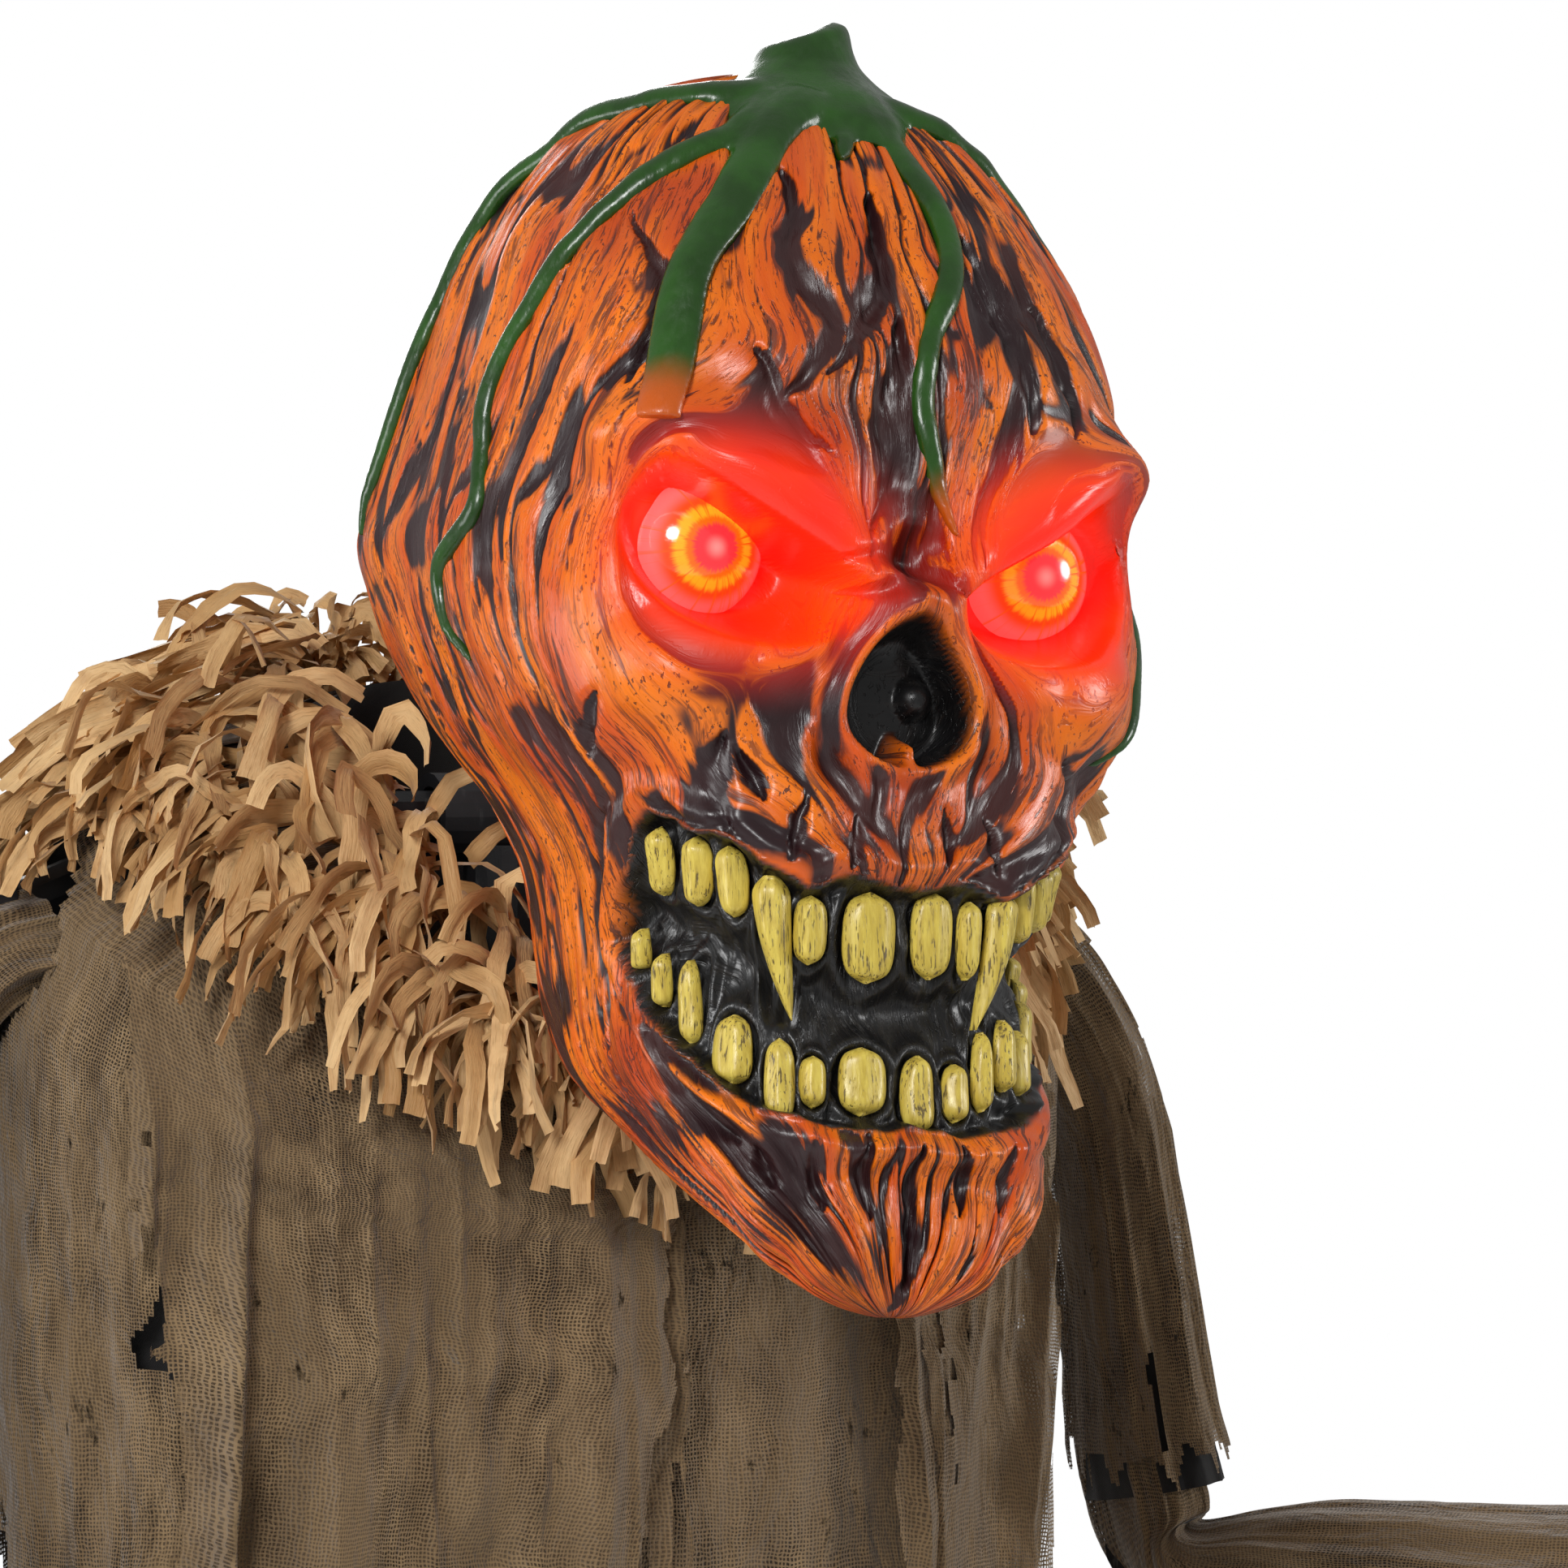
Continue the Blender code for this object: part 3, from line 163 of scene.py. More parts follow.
def catmull(points, steps):
    """A smooth curve through points."""
    p = np.array(points, float)
    p = np.vstack([2 * p[0] - p[1], p, 2 * p[-1] - p[-2]])
    out = []
    for i in range(1, len(p) - 2):
        for k in range(steps):
            t = k / steps
            out.append(0.5 * (2 * p[i] + (p[i + 1] - p[i - 1]) * t
                              + (2 * p[i - 1] - 5 * p[i] + 4 * p[i + 1] - p[i + 2]) * t * t
                              + (3 * p[i] - p[i - 1] - 3 * p[i + 1] + p[i + 2]) * t ** 3))
    out.append(p[-2])
    return np.array(out)


def unit(vectors):
    """Vectors scaled to length 1."""
    return vectors / np.maximum(np.linalg.norm(vectors, axis=-1, keepdims=True), 1e-9)


def new_piece(name, points, faces, look, place=None, baked=True):
    """A smooth-shaded mesh piece. With baked its place goes into the vertices."""
    mesh = bpy.data.meshes.new(name)
    mesh.from_pydata([tuple(p) for p in points], [], [tuple(f) for f in faces])
    if place is not None and baked:
        mesh.transform(place)
    mesh.shade_smooth()
    mesh.materials.append(look)
    made = bpy.data.objects.new(name, mesh)
    bpy.context.scene.collection.objects.link(made)
    if place is not None and not baked:
        made.matrix_world = place
    return made


def grid_faces(rows, columns, wrap=False, first=0):
    """Quads of a grid of points stored row by row."""
    faces = []
    last = columns if wrap else columns - 1
    for r in range(rows - 1):
        for c in range(last):
            d = (c + 1) % columns
            low, high = first + r * columns, first + (r + 1) * columns
            faces.append((low + c, low + d, high + d, high + c))
    return faces


def store(piece, name, values, kind="FLOAT"):
    """Keeps one value or vector for each vertex, for the material to read."""
    attribute = piece.data.attributes.new(name, kind, "POINT")
    key = "vector" if kind == "FLOAT_VECTOR" else "value"
    attribute.data.foreach_set(key, np.asarray(values, np.float32).ravel())


def apply_modifiers(piece):
    """Bakes a piece's modifiers into its mesh."""
    bpy.context.view_layer.update()
    done = bpy.data.meshes.new_from_object(piece.evaluated_get(bpy.context.evaluated_depsgraph_get()))
    piece.modifiers.clear()
    piece.data = done
    done.shade_smooth()


def melt(piece, pitch, rounds):
    """Melts overlapping closed shapes into one skin, softened so many times."""
    skin = piece.modifiers.new("one_skin", "REMESH")
    skin.mode, skin.voxel_size = "VOXEL", pitch
    soft = piece.modifiers.new("soft", "SMOOTH")
    soft.factor, soft.iterations = 0.5, rounds
    apply_modifiers(piece)


# ---- Material tools ----


class Look:
    """A procedural material under construction."""

    def __init__(self, name, roughness=0.5, metallic=0.0, **uniform):
        self.made = bpy.data.materials.new(name)
        self.made.use_nodes = True
        self.tree = self.made.node_tree
        self.shader = self.tree.nodes["Principled BSDF"]
        self.shader.inputs["Roughness"].default_value = roughness
        self.shader.inputs["Metallic"].default_value = metallic
        for key, value in uniform.items():
            self.shader.inputs[key.replace("_", " ")].default_value = value

    def node(self, kind, inputs=None, **settings):
        made = self.tree.nodes.new("ShaderNode" + kind)
        for key, value in settings.items():
            setattr(made, key, value)
        for key, value in (inputs or {}).items():
            self.put(made.inputs[key], value)
        return made

    def put(self, socket, value):
        if isinstance(value, bpy.types.NodeSocket):
            self.tree.links.new(value, socket)
        elif hasattr(value, "__len__") and len(value) == 3 and len(socket.default_value) == 4:
            socket.default_value = (*value, 1.0)
        else:
            socket.default_value = value

    def set(self, name, value):
        self.put(self.shader.inputs[name], value)

    def places(self):
        return self.node("TexCoord").outputs["Object"]

    def scaled(self, vector, scale):
        return self.node("Mapping", {"Vector": vector, "Scale": scale}).outputs[0]

    def grain(self, vector, scale, *details):
        """Noise with its own scale along each axis. Details are noise's own, from detail on."""
        return self.noise(self.scaled(vector, scale), 1.0, *details)

    def attribute(self, name, vector=False):
        made = self.node("Attribute", attribute_name=name)
        return made.outputs["Vector" if vector else "Fac"]

    def noise(self, vector, scale, detail=3.0, roughness=0.55, distortion=0.0):
        inputs = {"Vector": vector, "Scale": scale, "Detail": detail, "Roughness": roughness,
                  "Distortion": distortion}
        return self.node("TexNoise", inputs).outputs["Fac"]

    def cells(self, vector):
        inputs = {"Vector": vector, "Scale": 1.0}
        return self.node("TexVoronoi", inputs, feature="DISTANCE_TO_EDGE").outputs["Distance"]

    def math(self, operation, a, b=0.0, clamp=False):
        return self.node("Math", {0: a, 1: b}, operation=operation, use_clamp=clamp).outputs[0]

    def times(self, a, b):
        return self.math("MULTIPLY", a, b)

    def most(self, a, b, clamp=False):
        return self.math("MAXIMUM", a, b, clamp)

    def ranged(self, value, low, high, to_low=0.0, to_high=1.0):
        return self.node("MapRange", {"Value": value, "From Min": low, "From Max": high, "To Min": to_low,
                                      "To Max": to_high}, interpolation_type="SMOOTHSTEP").outputs["Result"]

    def mix(self, factor, a, b):
        return self.node("Mix", {0: factor, 6: a, 7: b}, data_type="RGBA").outputs[2]

    def bump(self, height, strength, distance, under=None):
        inputs = {"Height": height, "Strength": strength, "Distance": distance}
        if under is not None:
            inputs["Normal"] = under
        return self.node("Bump", inputs).outputs[0]


# ---- Head: surface ----


def blurred(values, count):
    """Values smoothed by a bell of that many samples, with their ends carried on."""
    bell = np.exp(-0.5 * (np.arange(-3 * count, 3 * count + 1) / count) ** 2)
    reach = 3 * count
    low = 2 * values[0] - values[reach:0:-1]
    high = 2 * values[-1] - values[-2:-reach - 2:-1]
    return np.convolve(np.concatenate([low, values, high]), bell / bell.sum(), "valid")


def head_base(turn, height):
    """Points of the plain head: turn 0 is the front's middle and a quarter turn is the left side."""
    level, half, front, back, square = HEAD_SECTIONS.T
    samples = np.linspace(level[0], level[-1], 900)
    count = round(SECTION_BLUR / (samples[1] - samples[0]))
    fine = [blurred(np.interp(samples, level, row), count)
            for row in (half ** 2, ((back - front) / 2) ** 2, (front + back) / 2, square)]
    wide, deep, middle, power = [np.interp(height, samples, row) for row in fine]
    wide, deep = np.sqrt(np.maximum(wide, 0)), np.sqrt(np.maximum(deep, 0))
    across, ahead = np.sin(turn), np.cos(turn)
    reach = (np.abs(across) ** power + np.abs(ahead) ** power) ** (-1 / power)
    return np.stack([wide * across * reach, middle - deep * ahead * reach, height + 0 * turn], -1)


class Surface:
    """The head as a grid over turn and height, with distances along each row and outward directions."""

    def __init__(self):
        t = np.linspace(-1, 1, HEAD_COLUMNS + 1)
        turns = math.pi * (0.60 * t + 0.40 * t ** 3)
        r = np.linspace(0, 1, HEAD_ROWS)
        low, high = HEAD_SECTIONS[0, 0] + 0.0002, HEAD_SECTIONS[-1, 0] - 0.0002
        heights = low + (high - low) * (r - 0.6 * np.sin(math.tau * r) / math.tau)
        self.turns, self.heights = turns, heights
        self.turn, self.height = np.meshgrid(turns, heights)
        self.points = head_base(self.turn, self.height)
        steps = np.linalg.norm(np.diff(self.points, axis=1), axis=2)
        along = np.concatenate([np.zeros((HEAD_ROWS, 1)), np.cumsum(steps, 1)], 1)
        self.along = along - along[:, [HEAD_COLUMNS // 2]]
        across = np.gradient(self.points, axis=1)
        across[:, 0] = across[:, -1] = self.points[:, 1] - self.points[:, -2]
        self.out = unit(np.cross(across, np.gradient(self.points, axis=0)))

    def at(self, turn, height, field=None):
        """Point and outward direction at a turn and height."""
        row = float(np.interp(height, self.heights, np.arange(HEAD_ROWS)))
        column = float(np.interp(turn, self.turns, np.arange(HEAD_COLUMNS + 1)))
        r, c = min(int(row), HEAD_ROWS - 2), min(int(column), HEAD_COLUMNS - 1)
        a, b = row - r, column - c
        out = []
        for grid in (self.points if field is None else field, self.out):
            low = grid[r, c] * (1 - b) + grid[r, c + 1] * b
            high = grid[r + 1, c] * (1 - b) + grid[r + 1, c + 1] * b
            out.append(low * (1 - a) + high * a)
        return out[0], unit(out[1])

    def turn_of(self, along, height):
        """The turn at a distance along the row at a height."""
        row = int(np.argmin(np.abs(self.heights - height)))
        return float(np.interp(along, self.along[row], self.turns))


def far_from(points, line):
    """Distance of each (across, up) pair from a broken line."""
    best = np.full(points.shape[:-1], 1e9)
    for a, b in zip(line, line[1:]):
        a, b = np.array(a, float), np.array(b, float)
        t = np.clip(((points - a) @ (b - a)) / ((b - a) @ (b - a)), 0, 1)
        best = np.minimum(best, np.linalg.norm(points - (a + t[..., None] * (b - a)), axis=-1))
    return best


def inside_of(points, outline):
    """Signed distance to a closed outline, positive inside."""
    closed = list(outline) + [outline[0]]
    inner = np.zeros(points.shape[:-1], bool)
    for (ax, ay), (bx, by) in zip(closed, closed[1:]):
        crosses = (ay > points[..., 1]) != (by > points[..., 1])
        at = ax + (points[..., 1] - ay) * (bx - ax) / (by - ay if by != ay else 1e-9)
        inner ^= crosses & (points[..., 0] < at)
    return np.where(inner, 1, -1) * far_from(points, closed)


def stroke(points, line, wide):
    """1 along a curved crease that is widest in its middle and thins out to both ends."""
    path = catmull(line, 5)
    lengths = np.concatenate([[0], np.cumsum(np.linalg.norm(np.diff(path, axis=0), axis=1))])
    best = np.zeros(points.shape[:-1])
    for a, b, before, after in zip(path, path[1:], lengths, lengths[1:]):
        t = np.clip(((points - a) @ (b - a)) / ((b - a) @ (b - a)), 0, 1)
        far = np.linalg.norm(points - (a + t[..., None] * (b - a)), axis=-1)
        share = (before + (after - before) * t) / lengths[-1]
        here = wide * (0.15 + 0.85 * np.sin(math.pi * (0.06 + 0.88 * share)) ** 1.3)
        best = np.maximum(best, np.exp(-(far / here) ** 2))
    return best


def hump(across, up, middle_across, middle_up, radius_across, radius_up, tilt=0.0):
    """1 in the middle of an oval, falling smoothly to 0 at its rim."""
    a, b = across - middle_across, up - middle_up
    c, s = math.cos(math.radians(tilt)), math.sin(math.radians(tilt))
    far = ((a * c + b * s) / radius_across) ** 2 + ((b * c - a * s) / radius_up) ** 2
    return np.clip(1 - far, 0, 1) ** 1.5


# The mouth's outline across and up in millimetres from the head's centre, from upper to lower middle.
MOUTH = [(0, -69), (20, -66), (35, -70), (50, -63), (60, -56), (78, -54), (94, -50), (104, -60), (111, -75),
         (116, -91), (98, -113), (73, -128), (50, -141), (18, -146), (0, -144)]
NOSE_ACROSS = -2.5                 # the nose hangs a little to the figure's right
# Middle across, middle up, width, height, width at the tip over width at the root, and sideways lean.
UPPER_TEETH = [(-92, -67, 13, 20, 0.9, 0), (-75, -69, 12.5, 21, 1.0, 0), (-61, -71, 12, 22, 0.95, 1),
               (-45, -90, 14, 44, 0.0, 9), (-33, -84, 12, 22, 0.95, 0), (-12.5, -85, 20, 29, 0.95, 0),
               (9.5, -83, 16.5, 28, 0.9, 0), (23.5, -84, 10.5, 25, 0.85, 0), (35, -90, 14, 43, 0.0, -9),
               (49, -73, 11, 22, 0.9, 0), (63, -70, 12, 21, 0.95, 0), (77, -68, 12.5, 20, 1.0, 0),
               (91, -66, 12, 18, 0.9, 0)]
LOWER_TEETH = [(-106, -94, 9, 13, 0.8, 0), (-94, -103, 10, 16, 0.8, 0), (-79, -109, 11.5, 25, 0.7, -1),
               (-60, -122, 16, 21, 0.9, 0), (-42, -130, 11.5, 25, 0.85, 0), (-30.5, -130, 10, 15, 0.9, 0),
               (-13, -129, 18, 20, 0.95, 0), (6, -132, 13, 23, 0.95, 0), (20, -131, 11, 17, 0.9, 0),
               (31.5, -124, 10, 24, 0.75, 0), (43.5, -119, 12, 22, 0.8, 0), (58, -121, 14, 20, 0.85, 0),
               (74, -113, 12, 21, 0.8, 0), (90, -104, 10, 16, 0.8, 0), (103, -95, 9, 13, 0.8, 0)]

# Chosen creases, across and up in millimetres, and their widths: down the forehead, between the brows,
# beside the muzzle, in the chin and down the cheeks.
CREASES = [
    ([(-30, 158), (-38, 128), (-31, 104), (-47, 80)], 5.5), ([(-6, 152), (-12, 120), (-32, 90)], 4.5),
    ([(-3, 110), (-12, 82), (-9, 60), (-16, 42)], 5.0), ([(24, 142), (34, 112), (42, 78)], 4.5),
    ([(-54, 96), (-48, 80), (-30, 66)], 3.5), ([(50, 120), (60, 96), (58, 78)], 3.5),
    ([(-26, 32), (-12, 34), (2, 31), (14, 24)], 4.5), ([(-20, 22), (-8, 24), (0, 30)], 3.0),
    ([(-62, -26), (-66, -40), (-60, -54)], 5.5), ([(-56, -30), (-50, -44)], 3.0),
    ([(60, -26), (68, -42), (62, -54)], 5.0), ([(-90, 140), (-84, 112), (-96, 84)], 3.5),
    ([(10, -44), (12, -62)], 2.0), ([(-20, -48), (-22, -64)], 2.0), ([(-38, -42), (-42, -62)], 2.4),
    ([(28, -46), (32, -62)], 2.0), ([(0, -150), (3, -170), (-1, -200)], 3.4),
    ([(-18, -150), (-14, -172)], 2.8), ([(-34, -150), (-30, -170)], 3.0), ([(20, -149), (16, -170)], 2.6),
    ([(36, -148), (32, -168)], 2.8), ([(-50, -152), (-46, -164)], 2.4),
    ([(-58, -150), (-74, -142), (-96, -118)], 4.2), ([(58, -150), (74, -142), (96, -118)], 4.2),
    ([(-112, -40), (-122, -66), (-127, -92), (-124, -124)], 4.6),
    ([(112, -40), (122, -66), (127, -92), (124, -124)], 4.6), ([(-108, -14), (-112, -34)], 3.4),
    ([(104, 60), (116, 40), (112, 16)], 3.6),
]


def flow_field(surface):
    """A direction across the wrinkles that parts round the sockets, the nose and the mouth."""
    across, up = surface.along / MM, surface.height / MM
    shift = np.zeros_like(across)
    for x, z, radius in ((-60, 33, 38), (60, 33, 38), (0, -10, 15), (-48, -100, 46), (48, -100, 46)):
        far = np.maximum((across - x) ** 2 + (up - z) ** 2, (0.95 * radius) ** 2)
        shift -= radius ** 2 * (across - x) / far
    turn = surface.turn + shift * MM / 0.115
    wave = noise(surface.points * 22, 3) * 0.05 + noise(surface.points * 60, 4) * 0.02
    turn = turn + wave
    return np.stack([0.115 * np.sin(turn), 0.115 * np.cos(turn), surface.height], -1)


def crevices(flow, frequency, stretch, seed, wide):
    """Lines that follow the flow: 1 in the middle of a groove."""
    scaled = flow * np.array((frequency, frequency, stretch))
    value = noise(scaled, seed) + 0.45 * noise(scaled * 2.1, seed + 50)
    return np.exp(-(value / wide) ** 2)


def sculpt_head(surface):
    """The head's final points, and the painted masks that go with them."""
    across, up = surface.along / MM, surface.height / MM
    side = np.abs(across)
    flat = np.stack([side, up], -1)
    front = smooth(150, 110, side)
    out = np.zeros_like(across)

    brow = far_from(flat, [(10, 24), (24, 36), (42, 49), (64, 64), (84, 72), (104, 66)])
    out += 9.5 * np.exp(-(brow / 10.5) ** 2)
    out += 3.0 * hump(side, up, 34, 92, 34, 26)
    out += 6.5 * hump(side, up, 72, -6, 38, 22)
    out += 3.0 * hump(side, up, 38, -2, 16, 14)
    out -= 6.0 * hump(side, up, 88, -42, 24, 28)
    out -= 9.0 * hump(across, up, 0, 34, 14, 13)
    out += 7.0 * hump(across, up, NOSE_ACROSS, -6, 34, 46)
    out -= 4.0 * hump(side, up, 118, 56, 26, 40)
    out += 3.5 * hump(across, up, 0, -50, 66, 22)
    out -= 3.0 * hump(side, up, 27, -36, 9, 24)
    out += 5.0 * hump(side, up, 21, -182, 19, 22)
    out += 3.0 * hump(side, up, 48, -170, 16, 22)
    out += 3.0 * np.exp(-((up + 153) / 5) ** 2) * smooth(60, 30, side)

    # The upside-down heart of the nose, its raised rim, its middle wall and the bead in its left half.
    from_nose = np.abs(across - NOSE_ACROSS)
    tall = np.where(up > -15, 30.0, 17.0)
    nose = np.sqrt((from_nose / 21.0) ** 2 + ((up + 15) / tall) ** 2)
    nose = nose + 0.08 * smooth(-15, 12, up) * from_nose / 10
    wall = smooth(2.6 + np.clip(-20 - up, 0, 20) * 0.34, 0.8, from_nose) * smooth(-19, -27, up)
    hole = smooth(1.06, 0.80, nose) * (1 - wall)
    out += 5.0 * np.exp(-((nose - 1.20) / 0.20) ** 2) * smooth(-42, -26, up)
    out += 5.0 * hump(across, up, NOSE_ACROSS, 18, 10, 17)
    out -= 17.0 * hole
    bead = hump(across, up, NOSE_ACROSS + 7.5, -9, 7.0, 7.0) ** 0.4 * (nose < 0.95)
    out += 8.0 * bead

    # The mouth: a lip, a recess, and gums standing up round each tooth.
    edge = inside_of(flat, MOUTH + [(-30, -144), (-30, -69)])
    edge = edge + 0.8 * noise(surface.points * 150, 8)
    mouth = smooth(-0.8, 1.0, edge)
    out += 3.6 * np.exp(-((edge + 5) / 4.2) ** 2)
    out -= 8.5 * smooth(-0.5, 4.5, edge)
    middle_line = np.interp(side, (0, 40, 80, 120), (-107, -102, -92, -82))
    out -= 6.0 * mouth * np.exp(-((up - middle_line) / 9) ** 2)
    gums = np.zeros_like(across)
    for tooth_across, tooth_up, width, height, _, _ in UPPER_TEETH + LOWER_TEETH:
        aside, above = (across - tooth_across) / (width * 0.62), (up - tooth_up) / (height * 0.60)
        ring = np.sqrt(aside ** 2 + above ** 2)
        gums = np.maximum(gums, np.exp(-((ring - 1.05) / 0.22) ** 2))
    out += 3.0 * gums * mouth
    out += 1.2 * mouth * noise(surface.points * np.array((260, 260, 90)), 9)

    # Wrinkles and deep grooves along the flow; the look darkens the grooves with dark wash and painted shade.
    flow = flow_field(surface)
    patchy = noise(surface.points * 17, 21)
    deep = crevices(flow, 58, 11, 31, 0.15) * smooth(-0.25, 0.30, patchy)
    deep = np.maximum(deep, 0.8 * crevices(flow, 92, 14, 33, 0.14) * smooth(0.20, -0.30, patchy))
    fine = crevices(flow, 170, 30, 37, 0.20) * smooth(-0.45, 0.20, noise(surface.points * 30, 23))
    rolls = noise(flow * np.array((95, 95, 15)), 41) + 0.5 * noise(flow * np.array((210, 210, 34)), 43)
    plain = (1 - mouth) * (1 - smooth(1.30, 1.05, nose))
    back = smooth(110, 190, side)
    out += plain * (1.15 * rolls - 3.2 * deep * (1 - 0.6 * back) - 0.8 * fine)
    out += 1.0 * (1 - front) * np.cos(surface.turn * 9) * smooth(-0.12, 0.02, surface.height)

    astray = 3.4 * noise(surface.points * 55, 51) + 1.6 * noise(surface.points * 160, 52)
    here = np.stack([across + astray, up], -1)
    cut = np.zeros_like(across)
    for line, wide in CREASES:
        cut = np.maximum(cut, stroke(here, line, wide))
    cut = cut * plain * (0.72 + 0.28 * noise(flow * np.array((150, 150, 40)), 53))
    out -= 5.0 * cut
    out *= smooth(-202, -188, up) * 0.85 + 0.15

    points = surface.points + surface.out * (out * MM)[..., None]

    # Eye sockets: the skin falls back to just behind the middle of each eyeball.
    glow = np.zeros_like(across)
    socket = np.zeros_like(across)
    for sign in SIDES.values():
        a, b = side - 58, up - 34
        c, s = math.cos(math.radians(17)), math.sin(math.radians(17))
        far = np.sqrt(((a * c + b * s) / 42) ** 2 + ((b * c - a * s) / 27) ** 2)
        here = np.sign(across) == sign
        below_brow = smooth(2.0, -4.0, up - (48.5 + 0.60 * a))
        fall = smooth(1.12, 0.66, far) * below_brow * here
        socket = np.maximum(socket, fall)
        # glow marks the skin round each eye that is given painted red light from the eye.
        spread = np.sqrt((a / 1.25) ** 2 + (b + 1) ** 2)
        glow = np.maximum(glow, smooth(54, 17, spread) * here)
    floor = (EYE.y - 0.0105) + 0.0012 * noise(surface.points * 90, 61)
    points[..., 1] += socket * (floor - points[..., 1])

    # The groove mask: the dark wash the moulding has in its grooves, and painted shade there.
    groove_wash_and_shade = np.clip(deep * 0.95 + cut * 1.3 + 0.5 * fine, 0, 1) * plain * (1 - 0.85 * socket)
    black = np.clip(mouth + smooth(1.10, 0.98, nose) * (1 - wall), 0, 1)
    return points, flow, groove_wash_and_shade, black, glow


def make_head(surface, look):
    """The sculpted skull with its painted masks. Returns its points in the head's own frame."""
    points, flow, groove_wash_and_shade, black, glow = sculpt_head(surface)
    columns = HEAD_COLUMNS
    kept = points[:, :columns].reshape(-1, 3)
    faces = grid_faces(HEAD_ROWS, columns, wrap=True)
    faces.append(tuple(range(columns))[::-1])
    top = (HEAD_ROWS - 1) * columns
    faces.append(tuple(range(top, top + columns)))
    head = new_piece("skull", kept, faces, look, HEAD)
    store(head, "flow", flow[:, :columns].reshape(-1, 3), "FLOAT_VECTOR")
    for name, values in (("groove_wash_and_shade", groove_wash_and_shade), ("black", black), ("glow", glow)):
        store(head, name, values[:, :columns])
    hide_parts("head_shell")
    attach(head, "head")
    return points


def skull_look():
    """Glossy orange, dark wash, painted shade in its grooves, a black mouth and nose, and red light round the
    eyes.
    """
    look = Look("glossy_orange_moulding", roughness=0.34, Coat_Weight=0.22, Coat_Roughness=0.20)
    flow = look.attribute("flow", vector=True)
    place = look.places()
    patches = look.grain(place, (14, 14, 14), 2.0)
    broad = look.grain(flow, (60, 60, 9), 4.0)
    bold = look.grain(flow, (165, 165, 17), 5.0, 0.65, 0.5)
    streak = look.grain(flow, (380, 380, 40), 4.0, 0.65, 0.5)
    hair = look.grain(flow, (900, 900, 130), 3.0, 0.6, 0.5)
    speck = look.grain(place, (600, 600, 380), 3.0)

    orange = look.mix(look.ranged(broad, 0.35, 0.62), (0.74, 0.092, 0.002), (1.0, 0.215, 0.002))
    orange = look.mix(look.ranged(patches, 0.50, 0.72), orange, (0.56, 0.062, 0.003))
    reach = look.ranged(patches, 0.25, 0.58)
    brushed = look.times(look.ranged(bold, 0.56, 0.63), look.ranged(streak, 0.36, 0.56))
    wash = look.times(look.ranged(streak, 0.55, 0.64), reach)
    threads = look.times(look.ranged(hair, 0.57, 0.65), reach)
    dots = look.times(look.ranged(speck, 0.60, 0.66), look.ranged(broad, 0.46, 0.60))
    painted = look.most(look.most(wash, brushed), look.most(threads, dots))
    # The grooves darkened by the groove mask: their dark wash and painted shade, broken up by streaks.
    broken = look.times(look.attribute("groove_wash_and_shade"), look.ranged(streak, 0.20, 0.55, 0.55, 1.45))
    painted = look.most(look.times(painted, 0.86), look.ranged(broken, 0.30, 0.66), clamp=True)
    # Round the eyes the skin gets painted red light: less wash, a red colour and a glow of its own.
    glow = look.attribute("glow")
    painted = look.times(painted, look.ranged(glow, 0.35, 0.95, 1.0, 0.12))
    paint = look.mix(look.ranged(patches, 0.4, 0.7), (0.020, 0.006, 0.008), (0.060, 0.016, 0.014))
    colour = look.mix(painted, orange, paint)
    black = look.attribute("black")
    dirt = look.mix(look.ranged(hair, 0.45, 0.75), (0.0045, 0.0042, 0.0045), (0.020, 0.016, 0.014))
    colour = look.mix(black, colour, dirt)
    lit = look.times(glow, look.math("SUBTRACT", 1.0, black))
    colour = look.mix(look.times(lit, 0.92), colour, (0.90, 0.012, 0.003))
    look.set("Base Color", colour)
    rough = look.ranged(streak, 0.3, 0.7, 0.24, 0.46)
    rough = look.node("Mix", {0: black, 2: rough, 3: 0.36}).outputs[0]
    look.set("Roughness", rough)
    light = look.mix(look.ranged(glow, 0.2, 0.9), (1.0, 0.06, 0.002), (1.0, 0.004, 0.004))
    look.set("Emission Color", light)
    look.set("Emission Strength", look.times(look.math("POWER", lit, 1.6), 0.46))
    ridges = look.math("ADD", look.times(streak, 0.6), look.times(hair, 0.25))
    ridges = look.math("ADD", ridges, look.times(bold, 0.5))
    ridges = look.math("SUBTRACT", ridges, look.times(painted, 0.40))
    normal = look.bump(ridges, 0.8, 0.0012)
    look.set("Normal", normal)
    return look.made


# ---- Head: teeth, eyes, stem and vines ----


